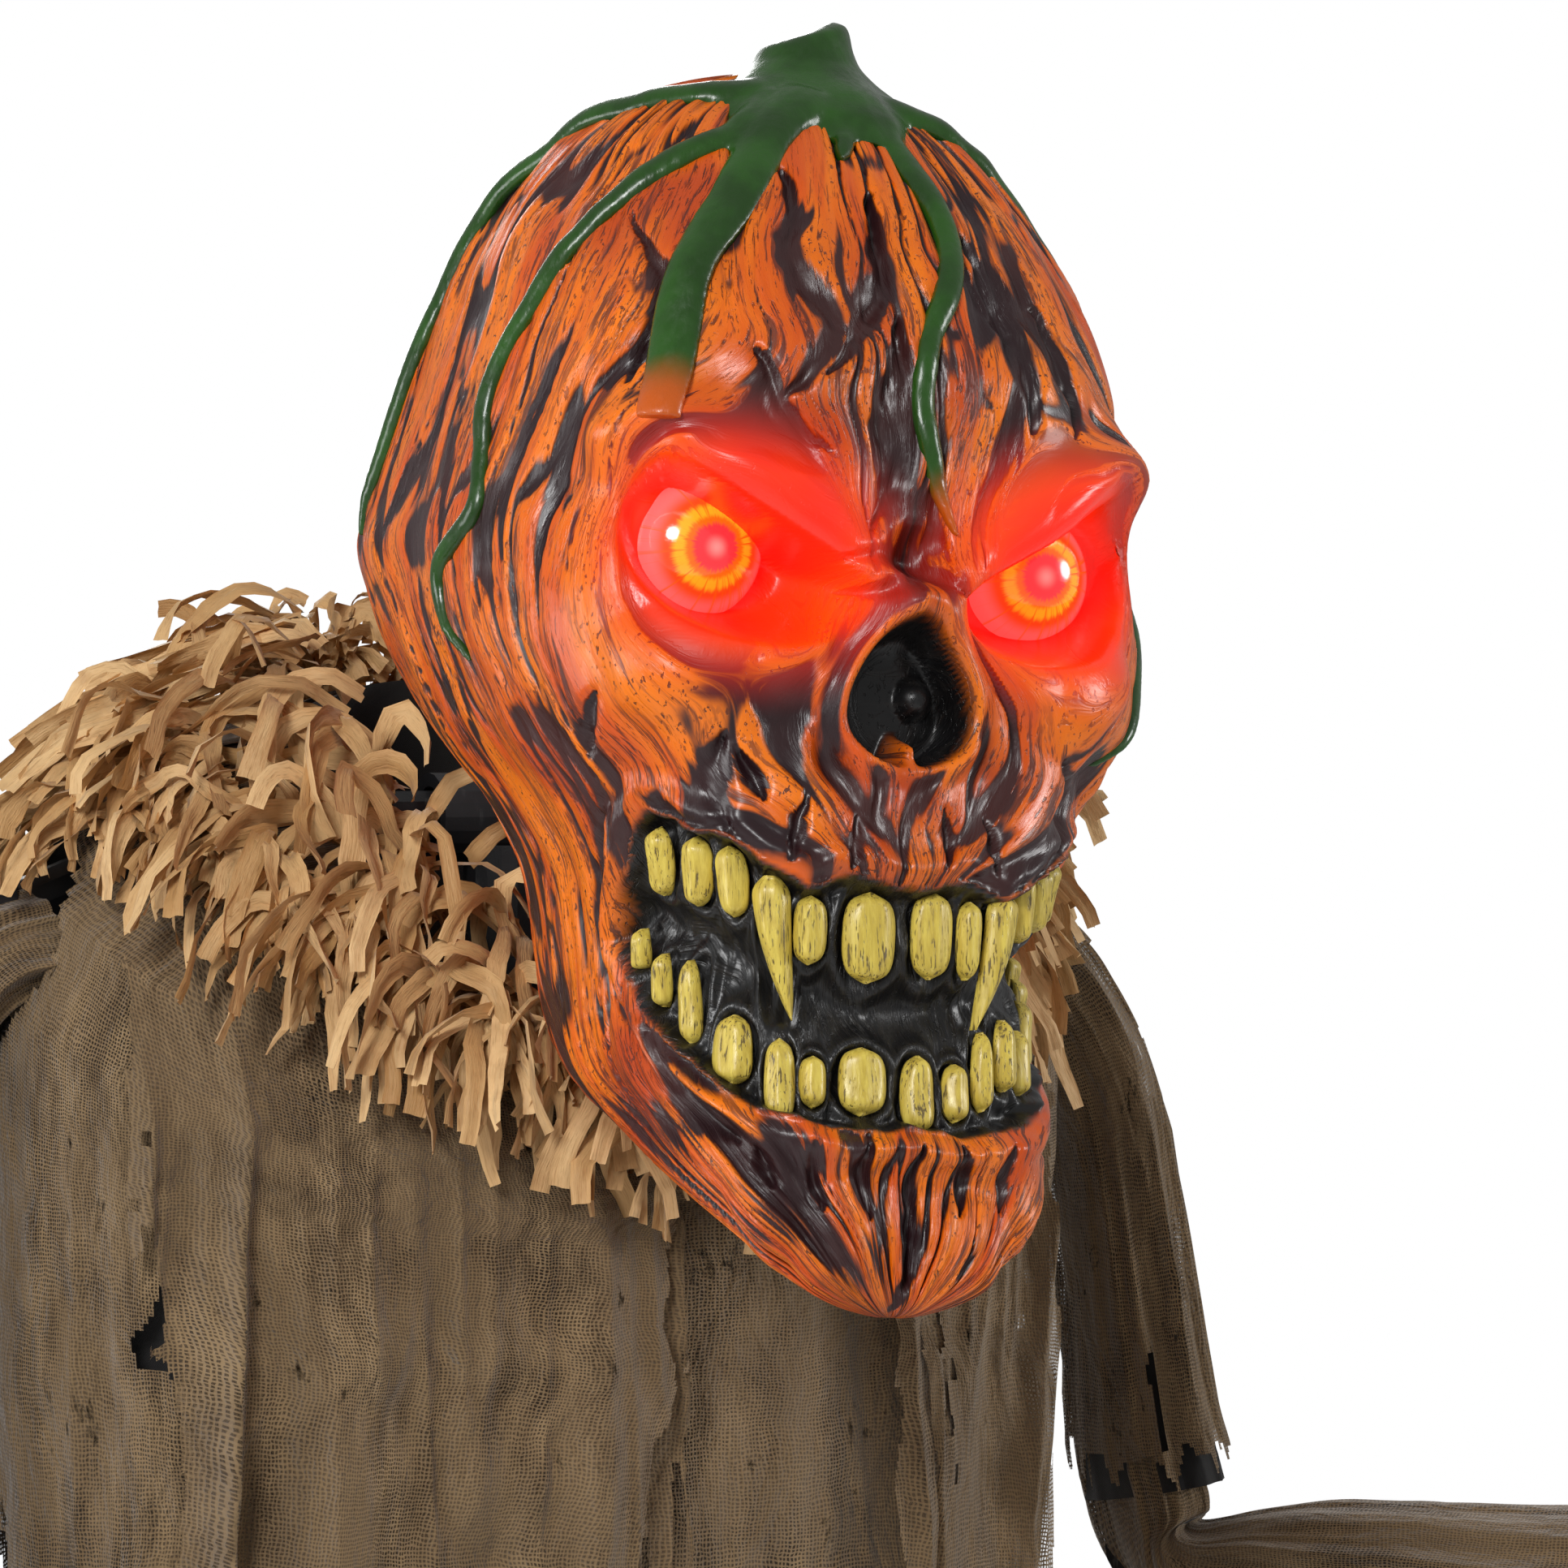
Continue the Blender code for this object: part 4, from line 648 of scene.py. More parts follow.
def tooth_shape(surface, tooth, upper, points, faces):
    """One tooth as a rounded half-round bar from its root to its tip, laid on the gum."""
    middle_across, middle_up, width, height, taper, lean = tooth
    rows, columns = 15, 12
    first = len(points)
    wobble = RANDOM.uniform(-1, 1, 3)
    for j in range(rows):
        v = -1 + 2 * j / (rows - 1)
        end = (1 - abs(v) ** 3.2) ** (1 / 2.2) if abs(v) < 1 else 0.0
        if taper == 0.0:
            t = (v + 1) / 2
            half = width / 2 * min(1.0, (t * 9 + 0.12) ** 0.5) * (1 - t ** 1.6) ** 0.75
            bend = lean * (t ** 1.7 - 0.25)
        else:
            half = width / 2 * end * (1 + (taper - 1) * (v + 1) / 2) * (1 + 0.05 * wobble[0] * v)
            bend = lean * v + 0.5 * wobble[1] * v * v
        half = max(half, 0.25)
        rise = middle_up + (-v if upper else v) * height / 2
        along = (middle_across + bend) * MM
        turn = surface.turn_of(along, rise * MM)
        base, out = surface.at(turn, rise * MM)
        side = unit(np.cross(np.array((0, 0, 1.0)), out))
        thick = (7.5 if taper else 9.0) * (0.45 + 0.55 * min(1.0, half / (width * 0.40)))
        for k in range(columns):
            a = math.pi * (k + 0.5) / columns
            ridge = 1 + 0.05 * math.sin(a * 7 + wobble[2] * 3)
            away = -8.5 + thick * math.sin(a) ** 0.8 * ridge
            points.append(base + side * (math.cos(a) * half * MM) * -1 + out * (away * MM))
    faces += grid_faces(rows, columns, first=first)
    for j in range(rows - 1):
        a, b = first + j * columns, first + (j + 1) * columns
        faces.append((a, b, b + columns - 1, a + columns - 1))
    faces.append(tuple(first + k for k in range(columns)))
    top = first + (rows - 1) * columns
    faces.append(tuple(top + k for k in range(columns - 1, -1, -1)))


def make_teeth(surface, look):
    """Both rows of teeth, rounded."""
    for name, teeth, upper in (("teeth_upper", UPPER_TEETH, True), ("teeth_lower", LOWER_TEETH, False)):
        points, faces = [], []
        for tooth in teeth:
            tooth_shape(surface, tooth, upper, points, faces)
        piece = new_piece(name, points, faces, look, HEAD)
        smoother = piece.modifiers.new("rounding", "SUBSURF")
        smoother.levels = smoother.render_levels = 1
        apply_modifiers(piece)
        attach(piece, "head")


def teeth_look():
    """Yellow teeth with dark wash in their upright grooves."""
    look = Look("yellow_teeth_with_dark_wash", roughness=0.34, Coat_Weight=0.3, Coat_Roughness=0.2)
    place = look.places()
    streak = look.grain(place, (520, 520, 75), 4.0, 0.62, 0.3)
    hair = look.grain(place, (1500, 1500, 160), 2.0)
    patch = look.grain(place, (60, 60, 60), 2.0)
    yellow = look.mix(look.ranged(streak, 0.3, 0.62), (0.84, 0.66, 0.12), (0.62, 0.45, 0.06))
    dark = look.most(look.ranged(streak, 0.60, 0.68),
                     look.times(look.ranged(hair, 0.58, 0.66), look.ranged(patch, 0.40, 0.55)))
    look.set("Base Color", look.mix(look.times(dark, 0.85), yellow, (0.06, 0.035, 0.012)))
    look.set("Roughness", look.ranged(streak, 0.3, 0.7, 0.28, 0.5))
    look.set("Normal", look.bump(look.math("SUBTRACT", streak, dark), 0.5, 0.0006))
    return look.made


def make_eyes(look):
    """A printed eyeball dome in each socket, lit from behind."""
    for side, sign in SIDES.items():
        rings, columns = 40, 64
        points, faces = [], []
        for j in range(rings + 1):
            tilt = math.radians(118) * j / rings
            for k in range(columns):
                a = math.tau * k / columns
                points.append((EYE_R * math.sin(tilt) * math.cos(a), -EYE_R * math.cos(tilt),
                               EYE_R * math.sin(tilt) * math.sin(a)))
        faces = grid_faces(rings + 1, columns, wrap=True)
        place = HEAD @ Matrix.Translation(Vector((sign * EYE.x, EYE.y, EYE.z)))
        eye = new_piece("eyeball_" + side, points, [f[::-1] for f in faces], look, place, baked=False)
        weld = eye.modifiers.new("weld", "WELD")
        weld.merge_threshold = 0.00001
        apply_modifiers(eye)
        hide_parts("eye_lens_" + side)
        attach(eye, "head")


def eye_look():
    """A red eye, all of it glowing: a yellow, rayed iris round a red pupil, with painted pink highlights."""
    look = Look("lit_eye", roughness=0.12, Coat_Weight=1.0, Coat_Roughness=0.05)
    place = look.places()
    parts = look.node("SeparateXYZ", {0: place})
    flat = look.node("CombineXYZ", {"X": parts.outputs["X"], "Y": parts.outputs["Z"]}).outputs[0]
    far = look.node("VectorMath", {0: flat}, operation="LENGTH").outputs["Value"]
    ray = look.node("VectorMath", {0: flat}, operation="NORMALIZE").outputs["Vector"]
    rays = look.grain(ray, (9, 9, 9), 5.0, 0.7)
    ring = look.math("ADD", far, look.times(look.math("SUBTRACT", rays, 0.5), 0.0050))
    # The pink in the middle of the pupil is a painted highlight.
    colour = look.mix(look.ranged(far, 0.0000, 0.0048), (1.0, 0.24, 0.22), (1.0, 0.030, 0.040))
    colour = look.mix(look.ranged(ring, 0.0066, 0.0086), colour, (1.0, 0.13, 0.004))
    colour = look.mix(look.ranged(ring, 0.0090, 0.0108), colour, (1.0, 0.36, 0.012))
    colour = look.mix(look.ranged(ring, 0.0124, 0.0146), colour, (1.0, 0.060, 0.008))
    # The pink round the rim is a painted highlight over the red of the ball.
    colour = look.mix(look.ranged(far, 0.0150, 0.0195), colour, (1.0, 0.16, 0.15))
    colour = look.mix(look.times(look.ranged(rays, 0.52, 0.66), look.ranged(ring, 0.0072, 0.0100)),
                      colour, (0.95, 0.10, 0.004))
    look.set("Base Color", colour)
    look.set("Emission Color", colour)
    look.set("Emission Strength", look.ranged(far, 0.015, 0.022, 0.62, 0.42))
    look.set("Normal", look.bump(rays, 0.15, 0.0004))
    return look.made


# Turn in degrees and height in millimetres along each vine, then its width at the root and at the tip, and
# whether its tip fades into orange.
VINES = [
    ([(-30, 187), (-70, 183), (-95, 174), (-108, 155), (-113, 130), (-115, 100), (-117, 70), (-119, 38)],
     15, 9, False),
    ([(-24, 184), (-34, 170), (-46, 160), (-57, 146), (-67, 127), (-74, 106), (-78, 82), (-76, 61), (-74, 42),
      (-84, 26), (-87, 11), (-84, -5)], 13, 7, False),
    ([(-12, 184), (-24, 172), (-34, 146), (-40, 126), (-42, 102), (-41, 70)], 20, 17, True),
    ([(-1, 184), (-2, 177), (-8, 163)], 12, 7, False),
    ([(8, 184), (9, 176), (11, 161), (12.5, 142), (8, 122), (2, 103), (0.5, 82), (3.5, 60), (6.5, 42)],
     14, 7, True),
    ([(22, 187), (40, 176), (54, 158), (66, 126), (70, 86), (66, 44), (58, 14), (51, -8), (47, -27)],
     14, 8, False),
    ([(92, 186), (100, 170), (106, 140), (100, 100), (108, 62), (104, 40)], 14, 8, False),
    ([(140, 186), (150, 168), (146, 130), (154, 90), (149, 48), (153, 10)], 15, 8, False),
    ([(-150, 186), (-158, 164), (-150, 124), (-158, 88), (-152, 58)], 14, 8, False),
]
BLUNT_TIP = 12                     # vines narrower than this at the tip are pointed
# Radius and height in millimetres up the stem, from its flared foot to its cut top.
STEM_PROFILE = [(48, 170), (42, 180), (33, 188), (24, 194), (18, 199.5), (15.4, 205), (14.2, 209),
                (12.8, 211.5), (8, 212.4)]


def make_vines(surface, head_points, look):
    """The stem and the vines that run down from it, melted into one skin."""
    points, faces, tips = [], [], []
    columns = 10
    for line, root_width, tip_width, fades in VINES:
        path = catmull(line, 9)
        spots = [surface.at(math.radians(turn), height * MM, head_points) for turn, height in path]
        centres = np.array([spot[0] for spot in spots])
        outs = np.array([spot[1] for spot in spots])
        for _ in range(3):
            centres[1:-1] = (centres[:-2] + 2 * centres[1:-1] + centres[2:]) / 4
        if fades:
            tips.append(centres[-1])
        ahead = unit(np.gradient(centres, axis=0))
        first, count = len(points), len(path)
        for i in range(count):
            t = i / (count - 1)
            uneven = 1 + 0.05 * math.sin(i * 0.35 + root_width)
            width = (root_width + (tip_width - root_width) * t ** 0.8) * uneven
            if tip_width < BLUNT_TIP:
                width *= min(1.0, (1 - t) * 6 + 0.25)
            high = 2.4 + 0.13 * width
            across = unit(np.cross(ahead[i], outs[i]))
            for k in range(columns):
                a = math.tau * k / columns
                lift = high * math.sin(a) if math.sin(a) > 0 else 3.5 * math.sin(a)
                points.append(centres[i] + across * (math.cos(a) * width / 2 * MM) + outs[i] * (lift * MM))
        faces += grid_faces(count, columns, wrap=True, first=first)
        faces.append(tuple(range(first, first + columns))[::-1])
        end = first + (count - 1) * columns
        faces.append(tuple(range(end, end + columns)))
    first = len(points)
    count = 30
    for radius, height in STEM_PROFILE:
        for k in range(count):
            a = math.tau * k / count
            ridges = 0.07 * math.cos(5 * a + 0.6) * smooth(200, 190, height)
            ridged = radius * (1 + ridges + 0.03 * math.cos(3 * a))
            slant = 4.2 * math.cos(a) * smooth(204, 211, height) - 2.0 * smooth(204, 211, height)
            points.append((ridged * math.cos(a) * MM, (STEM_Y / MM + ridged * math.sin(a)) * MM,
                           (height + slant) * MM))
    faces += grid_faces(len(STEM_PROFILE), count, wrap=True, first=first)
    faces.append(tuple(range(first, first + count))[::-1])
    faces.append(tuple(range(len(points) - count, len(points))))
    vines = new_piece("stem_and_vines", points, faces, look, HEAD)
    melt(vines, 0.0012, 14)
    places = np.array([vertex.co for vertex in vines.data.vertices])
    ends = np.array([HEAD @ Vector(tip) for tip in tips])
    store(vines, "to_tip", np.min(np.linalg.norm(places[:, None] - ends[None], axis=2), axis=1))
    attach(vines, "head")


def vine_look():
    """Glossy dark green that fades into orange at the tips of two vines."""
    look = Look("glossy_green_vine", roughness=0.3, Coat_Weight=0.35, Coat_Roughness=0.15)
    place = look.places()
    broad = look.grain(place, (40, 40, 40), 3.0)
    fine = look.grain(place, (420, 420, 200), 3.0)
    green = look.mix(look.ranged(broad, 0.35, 0.65), (0.010, 0.050, 0.002), (0.020, 0.092, 0.006))
    fade = look.math("ADD", look.attribute("to_tip"), look.times(broad, 0.016))
    look.set("Base Color", look.mix(look.ranged(fade, 0.014, 0.034), (0.62, 0.105, 0.004), green))
    look.set("Roughness", look.ranged(fine, 0.3, 0.7, 0.22, 0.42))
    look.set("Normal", look.bump(look.math("ADD", broad, look.times(fine, 0.35)), 0.45, 0.0016))
    return look.made


# ---- Cloth: the body's outline and its folds ----


def body_ring(level):
    """Centre y, half width, half depth and backward rise of the body's outline at a level."""
    return [np.interp(level, BODY_RINGS[:, 0], BODY_RINGS[:, k]) for k in (1, 2, 3, 4)]


def body_points(turn, level, away):
    """Points that far outside the body's outline. Turn 0 is the left side and a quarter turn the back."""
    y, half, deep, slope = body_ring(level)
    back = (deep + away) * np.sin(turn)
    lift = slope * back * np.where(back > 0, NAPE_RISE, 1.0)
    return np.stack([(half + away) * np.cos(turn), y + back, level + lift], -1)


def pleats(turn, level, across, along, seed):
    """Hanging folds from 0 to 1 round the body: narrow crests that drift slowly with height."""
    drift = 0.25 * noise_at(np.cos(turn) * 2, np.sin(turn) * 2, level * 2.2, seed + 5)
    where = np.stack([np.cos(turn + drift) * across, np.sin(turn + drift) * across, level * along], -1)
    coarse = 1 - np.abs(noise(where, seed))
    finer = 1 - np.abs(noise(where * 2.3, seed + 1))
    return 0.72 * coarse ** 2 + 0.28 * finer ** 2


def robe_away(turn, level):
    """How far the black robe stands off the body's outline."""
    depth = np.interp(level, (0.06, 0.9, 1.5, 1.7), (0.018, 0.011, 0.003, 0.0005))
    return depth * pleats(turn, level, 4.2, 1.3, 71)


def tunic_away(turn, level):
    """How far the gauze tunic stands off the body's outline."""
    depth = np.interp(level, (0.30, 1.0, 1.5, 1.7), (0.018, 0.013, 0.007, 0.001))
    calm = 1 - 0.55 * np.exp(-((np.cos(turn) - 0.1) / 0.5) ** 2) * (np.sin(turn) < 0)
    where = np.stack([np.cos(turn) * 0.2, np.sin(turn) * 0.2, level], -1)
    slack = np.interp(level, (1.50, 1.68), (1.0, 0.15))
    crumple = 0.0050 * np.abs(noise(where * np.array((17, 17, 10)), 83))
    crumple = crumple + 0.0022 * np.abs(noise(where * 42, 84))
    folds = depth * calm * pleats(turn, level, 5.5, 1.7, 81)
    return robe_away(turn, level) + TUNIC_GAP + crumple * slack + folds


def cloth_grid(name, points, across, along, look, keep=None, wrap=False):
    """A cloth piece from a grid of points, with its own flat coordinates and any torn faces left out."""
    rows, columns = points.shape[:2]
    faces = grid_faces(rows, columns, wrap)
    if keep is not None:
        flat = keep.ravel()
        faces = [face for face in faces if all(flat[i] for i in face)]
    used = sorted({i for face in faces for i in face})
    where = {old: new for new, old in enumerate(used)}
    piece = new_piece(name, points.reshape(-1, 3)[used], [[where[i] for i in face] for face in faces], look)
    cloth = np.stack([across, along, along * 0], -1).reshape(-1, 3)[used]
    store(piece, "cloth", cloth, "FLOAT_VECTOR")
    return piece


def ragged(across, along, seed, fine=38.0):
    """Noise that decides where torn edges run."""
    where = np.stack([across * fine, along * fine * 0.45, across * 0], -1)
    return noise(where, seed) + 0.5 * noise(where * 2.7, seed + 1) + 0.3 * noise(where * 6.1, seed + 2)


def hanging_tears(across, along, seed, share):
    """True where the cloth is whole: long upright rips and small holes are left out."""
    fray = noise_at(across * 170, along * 62, 9, seed + 2)
    fray = 0.26 * fray + 0.16 * noise_at(across * 70, along * 21, 5, seed + 3)
    lean = 0.9 * noise_at(across * 9, along * 9, 7, seed + 4)
    rips = noise_at(across * 30 + lean, along * 4.5, 0, seed) + fray
    holes = noise_at(across * 55, along * 38 + lean, 3, seed + 1) + fray
    return (rips < 0.62 - share) | (holes < 0.05)


def above_armholes(points, hem, radius):
    """The hem's height, put above every point of an armhole of that radius so that the hole is left out."""
    for side in SIDES.values():
        reach = np.hypot(points[..., 1], points[..., 2] - ARMHOLE_Z)
        hem = np.where((side * points[..., 0] > 0.1) & (reach < radius), 9.0, hem)
    return hem


def make_robe(look):
    """The black under-robe, a gathered tube of cloth with a frayed hem."""
    turns = np.linspace(0, math.tau, 661)[:-1]
    frayed = np.linspace(BODY_RINGS[0, 0], 0.16, 70)
    levels = np.concatenate([frayed, np.linspace(0.163, BODY_RINGS[-1, 0], 200)])
    turn, level = np.meshgrid(turns, levels)
    points = body_points(turn, level, robe_away(turn, level))
    round_the_body = turn * 0.20
    hem = 0.085 + 0.030 * ragged(round_the_body, level * 0 + 0.3, 5)
    hem = above_armholes(points, hem, 0.038)
    robe = cloth_grid("black_robe", points, round_the_body, level, look, level > hem, wrap=True)
    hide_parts("under_robe")
    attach(robe, "stand")


def make_tunic(look):
    """The gauze tunic: close-fitting at the chest, falling in folds to a torn hem below the knee."""
    turns = np.linspace(0, math.tau, 561)[:-1]
    levels = np.linspace(0.300, BODY_RINGS[-1, 0] - 0.002, 480)
    turn, level = np.meshgrid(turns, levels)
    points = body_points(turn, level, tunic_away(turn, level))
    round_the_body = turn * 0.205
    hem = 0.42 + 0.13 * ragged(round_the_body, level * 0.25, 15, 14.0)
    whole = hanging_tears(round_the_body, level, 17, np.interp(level, (0.4, 1.2), (0.24, 0.06)))
    keep = (level > above_armholes(points, hem, 0.040)) & whole
    tunic = cloth_grid("gauze_tunic_cloth", points, round_the_body, level, look, keep, wrap=True)
    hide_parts("gauze_tunic")
    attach(tunic, "stand")


# Name, front (-1) or back (+1), inner and outer edge across, hem height, depth of the folds and seed.
PANELS = [("gauze_panel_front_right", -1, -0.006, -0.176, 0.80, 0.024, 101),
          ("gauze_panel_front_left", -1, 0.082, 0.178, 0.86, 0.024, 111),
          ("gauze_panel_back_right", 1, -0.012, -0.176, 0.74, 0.024, 121),
          ("gauze_panel_back_left", 1, 0.020, 0.178, 0.90, 0.024, 131),
          ("gauze_strip_front_middle", -1, -0.044, -0.002, 0.66, 0.010, 141),
          ("gauze_strip_front_left", -1, 0.088, 0.126, 0.72, 0.012, 151),
          ("gauze_strip_back", 1, -0.060, -0.012, 0.60, 0.012, 161)]
FULLNESS = 1.35                    # width of a panel laid flat over its width as it hangs


def make_panel(name, facing, inner, outer, hem_level, depth, seed, look):
    """A torn length of gauze that hangs from the shoulder over the tunic, in upright folds."""
    wide = abs(outer - inner)
    columns, rows = max(60, int(wide / 0.0011)), 340
    share, rise = np.meshgrid(np.linspace(0, 1, columns), np.linspace(0, 1, rows))
    stray = 0.017 * ragged(rise * 0 + seed, rise * 1.2, seed, 13.0)
    edge_in = inner + stray
    edge_out = outer - 0.007 * (1 + noise_line(rise * 9, seed + 8)) * np.sign(outer)
    x = edge_in + (edge_out - edge_in) * share
    x = x + 0.006 * noise_at(share * 4, rise * 9, 0, seed + 9)
    shoulder = np.interp(np.abs(x), (0.10, 0.118, 0.150, 0.180, 0.192), (1.700, 1.698, 1.688, 1.664, 1.628))
    level = hem_level + (shoulder - hem_level) * rise
    sway = 0.9 * noise_at(rise * 3, 0, 0, seed)
    crests = 1 - np.abs(noise_at(x * 42 + sway, rise * 2.6, 0, seed + 2))
    finer = 1 - np.abs(noise_at(x * 105 + sway, rise * 7, 0, seed + 3))
    calm = np.interp(rise, (0, 0.75, 1.0), (1.0, 0.80, 0.10))
    slack = np.abs(noise_at(x * 30, rise * 16, 5, seed + 4))
    folds = depth * calm * (0.85 * crests ** 3 + 0.25 * finer ** 2)
    lift = 0.010 * smooth(1.0, 0.93, rise) + folds + 0.0015
    lift = lift + 0.007 * slack * calm
    half = body_ring(level)[1]
    turn = np.arccos(np.clip(x / (half + lift), -0.97, 0.97)) * facing
    away = tunic_away(turn, level) + lift
    points = body_points(turn, level, away)
    points[..., 0] = x
    cloth_across, cloth_along = share * wide * FULLNESS, level
    torn = ragged(cloth_across, cloth_along, seed + 20)
    border = np.minimum(share, 1 - share) * wide
    low = rise * (1.69 - hem_level)
    keep = (border > 0.006 + 0.010 * torn) & (low > 0.05 + 0.11 * torn)
    share_torn = np.interp(rise, (0, 0.5, 1), (0.26, 0.10, 0.02))
    keep &= hanging_tears(cloth_across, cloth_along, seed + 30, share_torn)
    piece = cloth_grid(name, points, cloth_across, cloth_along, look, keep)
    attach(piece, "stand")


# ---- Sleeves ----


def mirrored(points, sign):
    """The same path on the left side (1) or the right (-1)."""
    return np.array([(x * sign, y, z) for x, y, z in points])


def sleeve_rings(path, radii, hangs, columns, seed, depth, squash, open_from, top=1.0):
    """Rings of folded cloth that hang round an arm, with their cloth coordinates along and around.

    They are flattened by squash up to the first length of open_from along the arm and round from the second.
    """
    centres = catmull(path, 12)
    radius = np.interp(np.linspace(0, 1, len(centres)), np.linspace(0, 1, len(radii)), radii)
    hang = np.interp(np.linspace(0, 1, len(centres)), np.linspace(0, 1, len(hangs)), hangs)
    ahead = unit(np.gradient(centres, axis=0))
    flat = unit(np.cross(ahead, np.array((0, 1.0, 0)) if abs(ahead[0][1]) < 0.5 else np.array((0, 0, 1.0))))
    other = unit(np.cross(flat, ahead))
    angles = np.linspace(0, math.tau, columns + 1)[:-1]
    along = np.concatenate([[0], np.cumsum(np.linalg.norm(np.diff(centres, axis=0), axis=1))])
    points = np.zeros((len(centres), columns, 3))
    for i, centre in enumerate(centres):
        fold = pleats(angles, along[i] + 0 * angles, 3.2, 7.0, seed)
        grown = radius[i] + depth * (fold - 0.35)
        narrow = squash + (1 - squash) * float(smooth(*open_from, along[i]))
        ring = flat[i] * narrow * np.cos(angles)[:, None] + other[i] * np.sin(angles)[:, None]
        ring = ring * grown[:, None]
        ring[:, 2] *= np.where(ring[:, 2] > 0, top, 1.0)
        low = np.clip(-ring[:, 2] / radius[i], 0, 1)
        ring[:, 2] -= hang[i] * low * (0.85 + 0.3 * fold)
        points[i] = centre + ring
    return points, np.repeat(along[:, None], columns, 1), np.repeat(angles[None] * 0.045, len(centres), 0)


def make_sleeves(gauze, robe_cloth):
    """Each arm's black sleeve and gauze sleeve, in a shoulder part and an elbow part."""
    elbow_at = Vector(JOINTS["elbow_left"]["pos_m"])
    along = Vector((1, -1, 0)).normalized()
    for side, sign in SIDES.items():
        upper_path = [(0.178, 0, 1.636), (0.196, 0, 1.632), (0.211, 0, 1.618), (0.226, 0, 1.590),
                      (0.236, 0, 1.550), (0.245, 0, 1.490), (0.250, 0, 1.455), (0.253, -0.002, 1.436)]
        lower_path = [tuple(elbow_at + Vector(p)) for p in ((-0.006, 0.002, 0.060), (-0.002, 0.0, 0.028))]
        steps = ((0.012, 0.002), (0.050, -0.002), (0.105, -0.004), (0.160, -0.006), (0.216, -0.008))
        lower_path += [tuple(elbow_at + along * s + Vector((0, 0, z))) for s, z in steps]
        kinds = (("black_sleeve", robe_cloth, "black_robe", 0.000, 0.0035, 0.0),
                 ("gauze_sleeve", gauze, "brown_gauze", 0.0055, 0.0075, 0.30))
        for kind, cloth, slot, grow, depth, tears in kinds:
            radii = np.array((0.036, 0.033, 0.030, 0.029, 0.030, 0.033, 0.037, 0.039)) + grow
            points, run, round_it = sleeve_rings(mirrored(upper_path, sign), radii, [0] * 8, 120,
                                                 171 + int(grow * 1e4), depth, 0.52, (1.0, 2.0))
            beside = np.where(run > 0.045, 0.2075 - grow, 0)
            points[..., 0] = sign * np.maximum(np.abs(points[..., 0]), beside)
            keep = None
            if tears:
                keep = hanging_tears(round_it, run, 175, 0.12) | (run < 0.03)
                keep &= run < run.max() - 0.008 - 0.010 * ragged(round_it * 3, run * 0, 177)
            piece = cloth_grid(f"{kind}_upper_{side}", points, round_it, run, cloth, keep, wrap=True)
            if kind == "gauze_sleeve":
                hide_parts("upper_sleeve_" + side)
            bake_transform(piece)
            radii = np.array((0.026, 0.030, 0.032, 0.037, 0.041, 0.043, 0.044)) + grow * 0.8
            hangs = np.array((0.0, 0.0, 0.012, 0.040, 0.066, 0.088, 0.104)) * (1.12 if tears else 1.0)
            points, run, round_it = sleeve_rings(mirrored(lower_path, sign), radii, hangs, 140,
                                                 181 + int(grow * 1e4), depth, 0.46, (0.05, 0.13), top=0.52)
            ends = 0.262 + 0.012 * ragged(round_it, run * 0, 187)
            keep = run < ends
            if tears:
                keep &= hanging_tears(round_it, run, 189, 0.14)
            piece = cloth_grid(f"{kind}_lower_{side}", points, round_it, run, cloth, keep, wrap=True)
            if kind == "gauze_sleeve":
                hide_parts("lower_sleeve_" + side)
            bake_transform(piece)


def weave_coordinates(look):
    """Cloth coordinates, slightly disturbed so that no thread runs dead straight."""
    cloth = look.attribute("cloth", vector=True)
    drift = look.node("TexNoise", {"Vector": cloth, "Scale": 16.0, "Detail": 2.0}).outputs["Color"]
    moved = look.node("VectorMath", {0: drift, 1: (0.012, 0.012, 0.0)}, operation="MULTIPLY").outputs[0]
    wobble = look.node("TexNoise", {"Vector": cloth, "Scale": 260.0, "Detail": 1.0}).outputs["Color"]
    shaken = look.node("VectorMath", {0: wobble, 1: (0.0018, 0.0018, 0.0)}, operation="MULTIPLY").outputs[0]
    total = look.node("VectorMath", {0: cloth, 1: moved}, operation="ADD").outputs[0]
    total = look.node("VectorMath", {0: total, 1: shaken}, operation="ADD").outputs[0]
    return cloth, total


GAUZE_PITCH = 0.0015


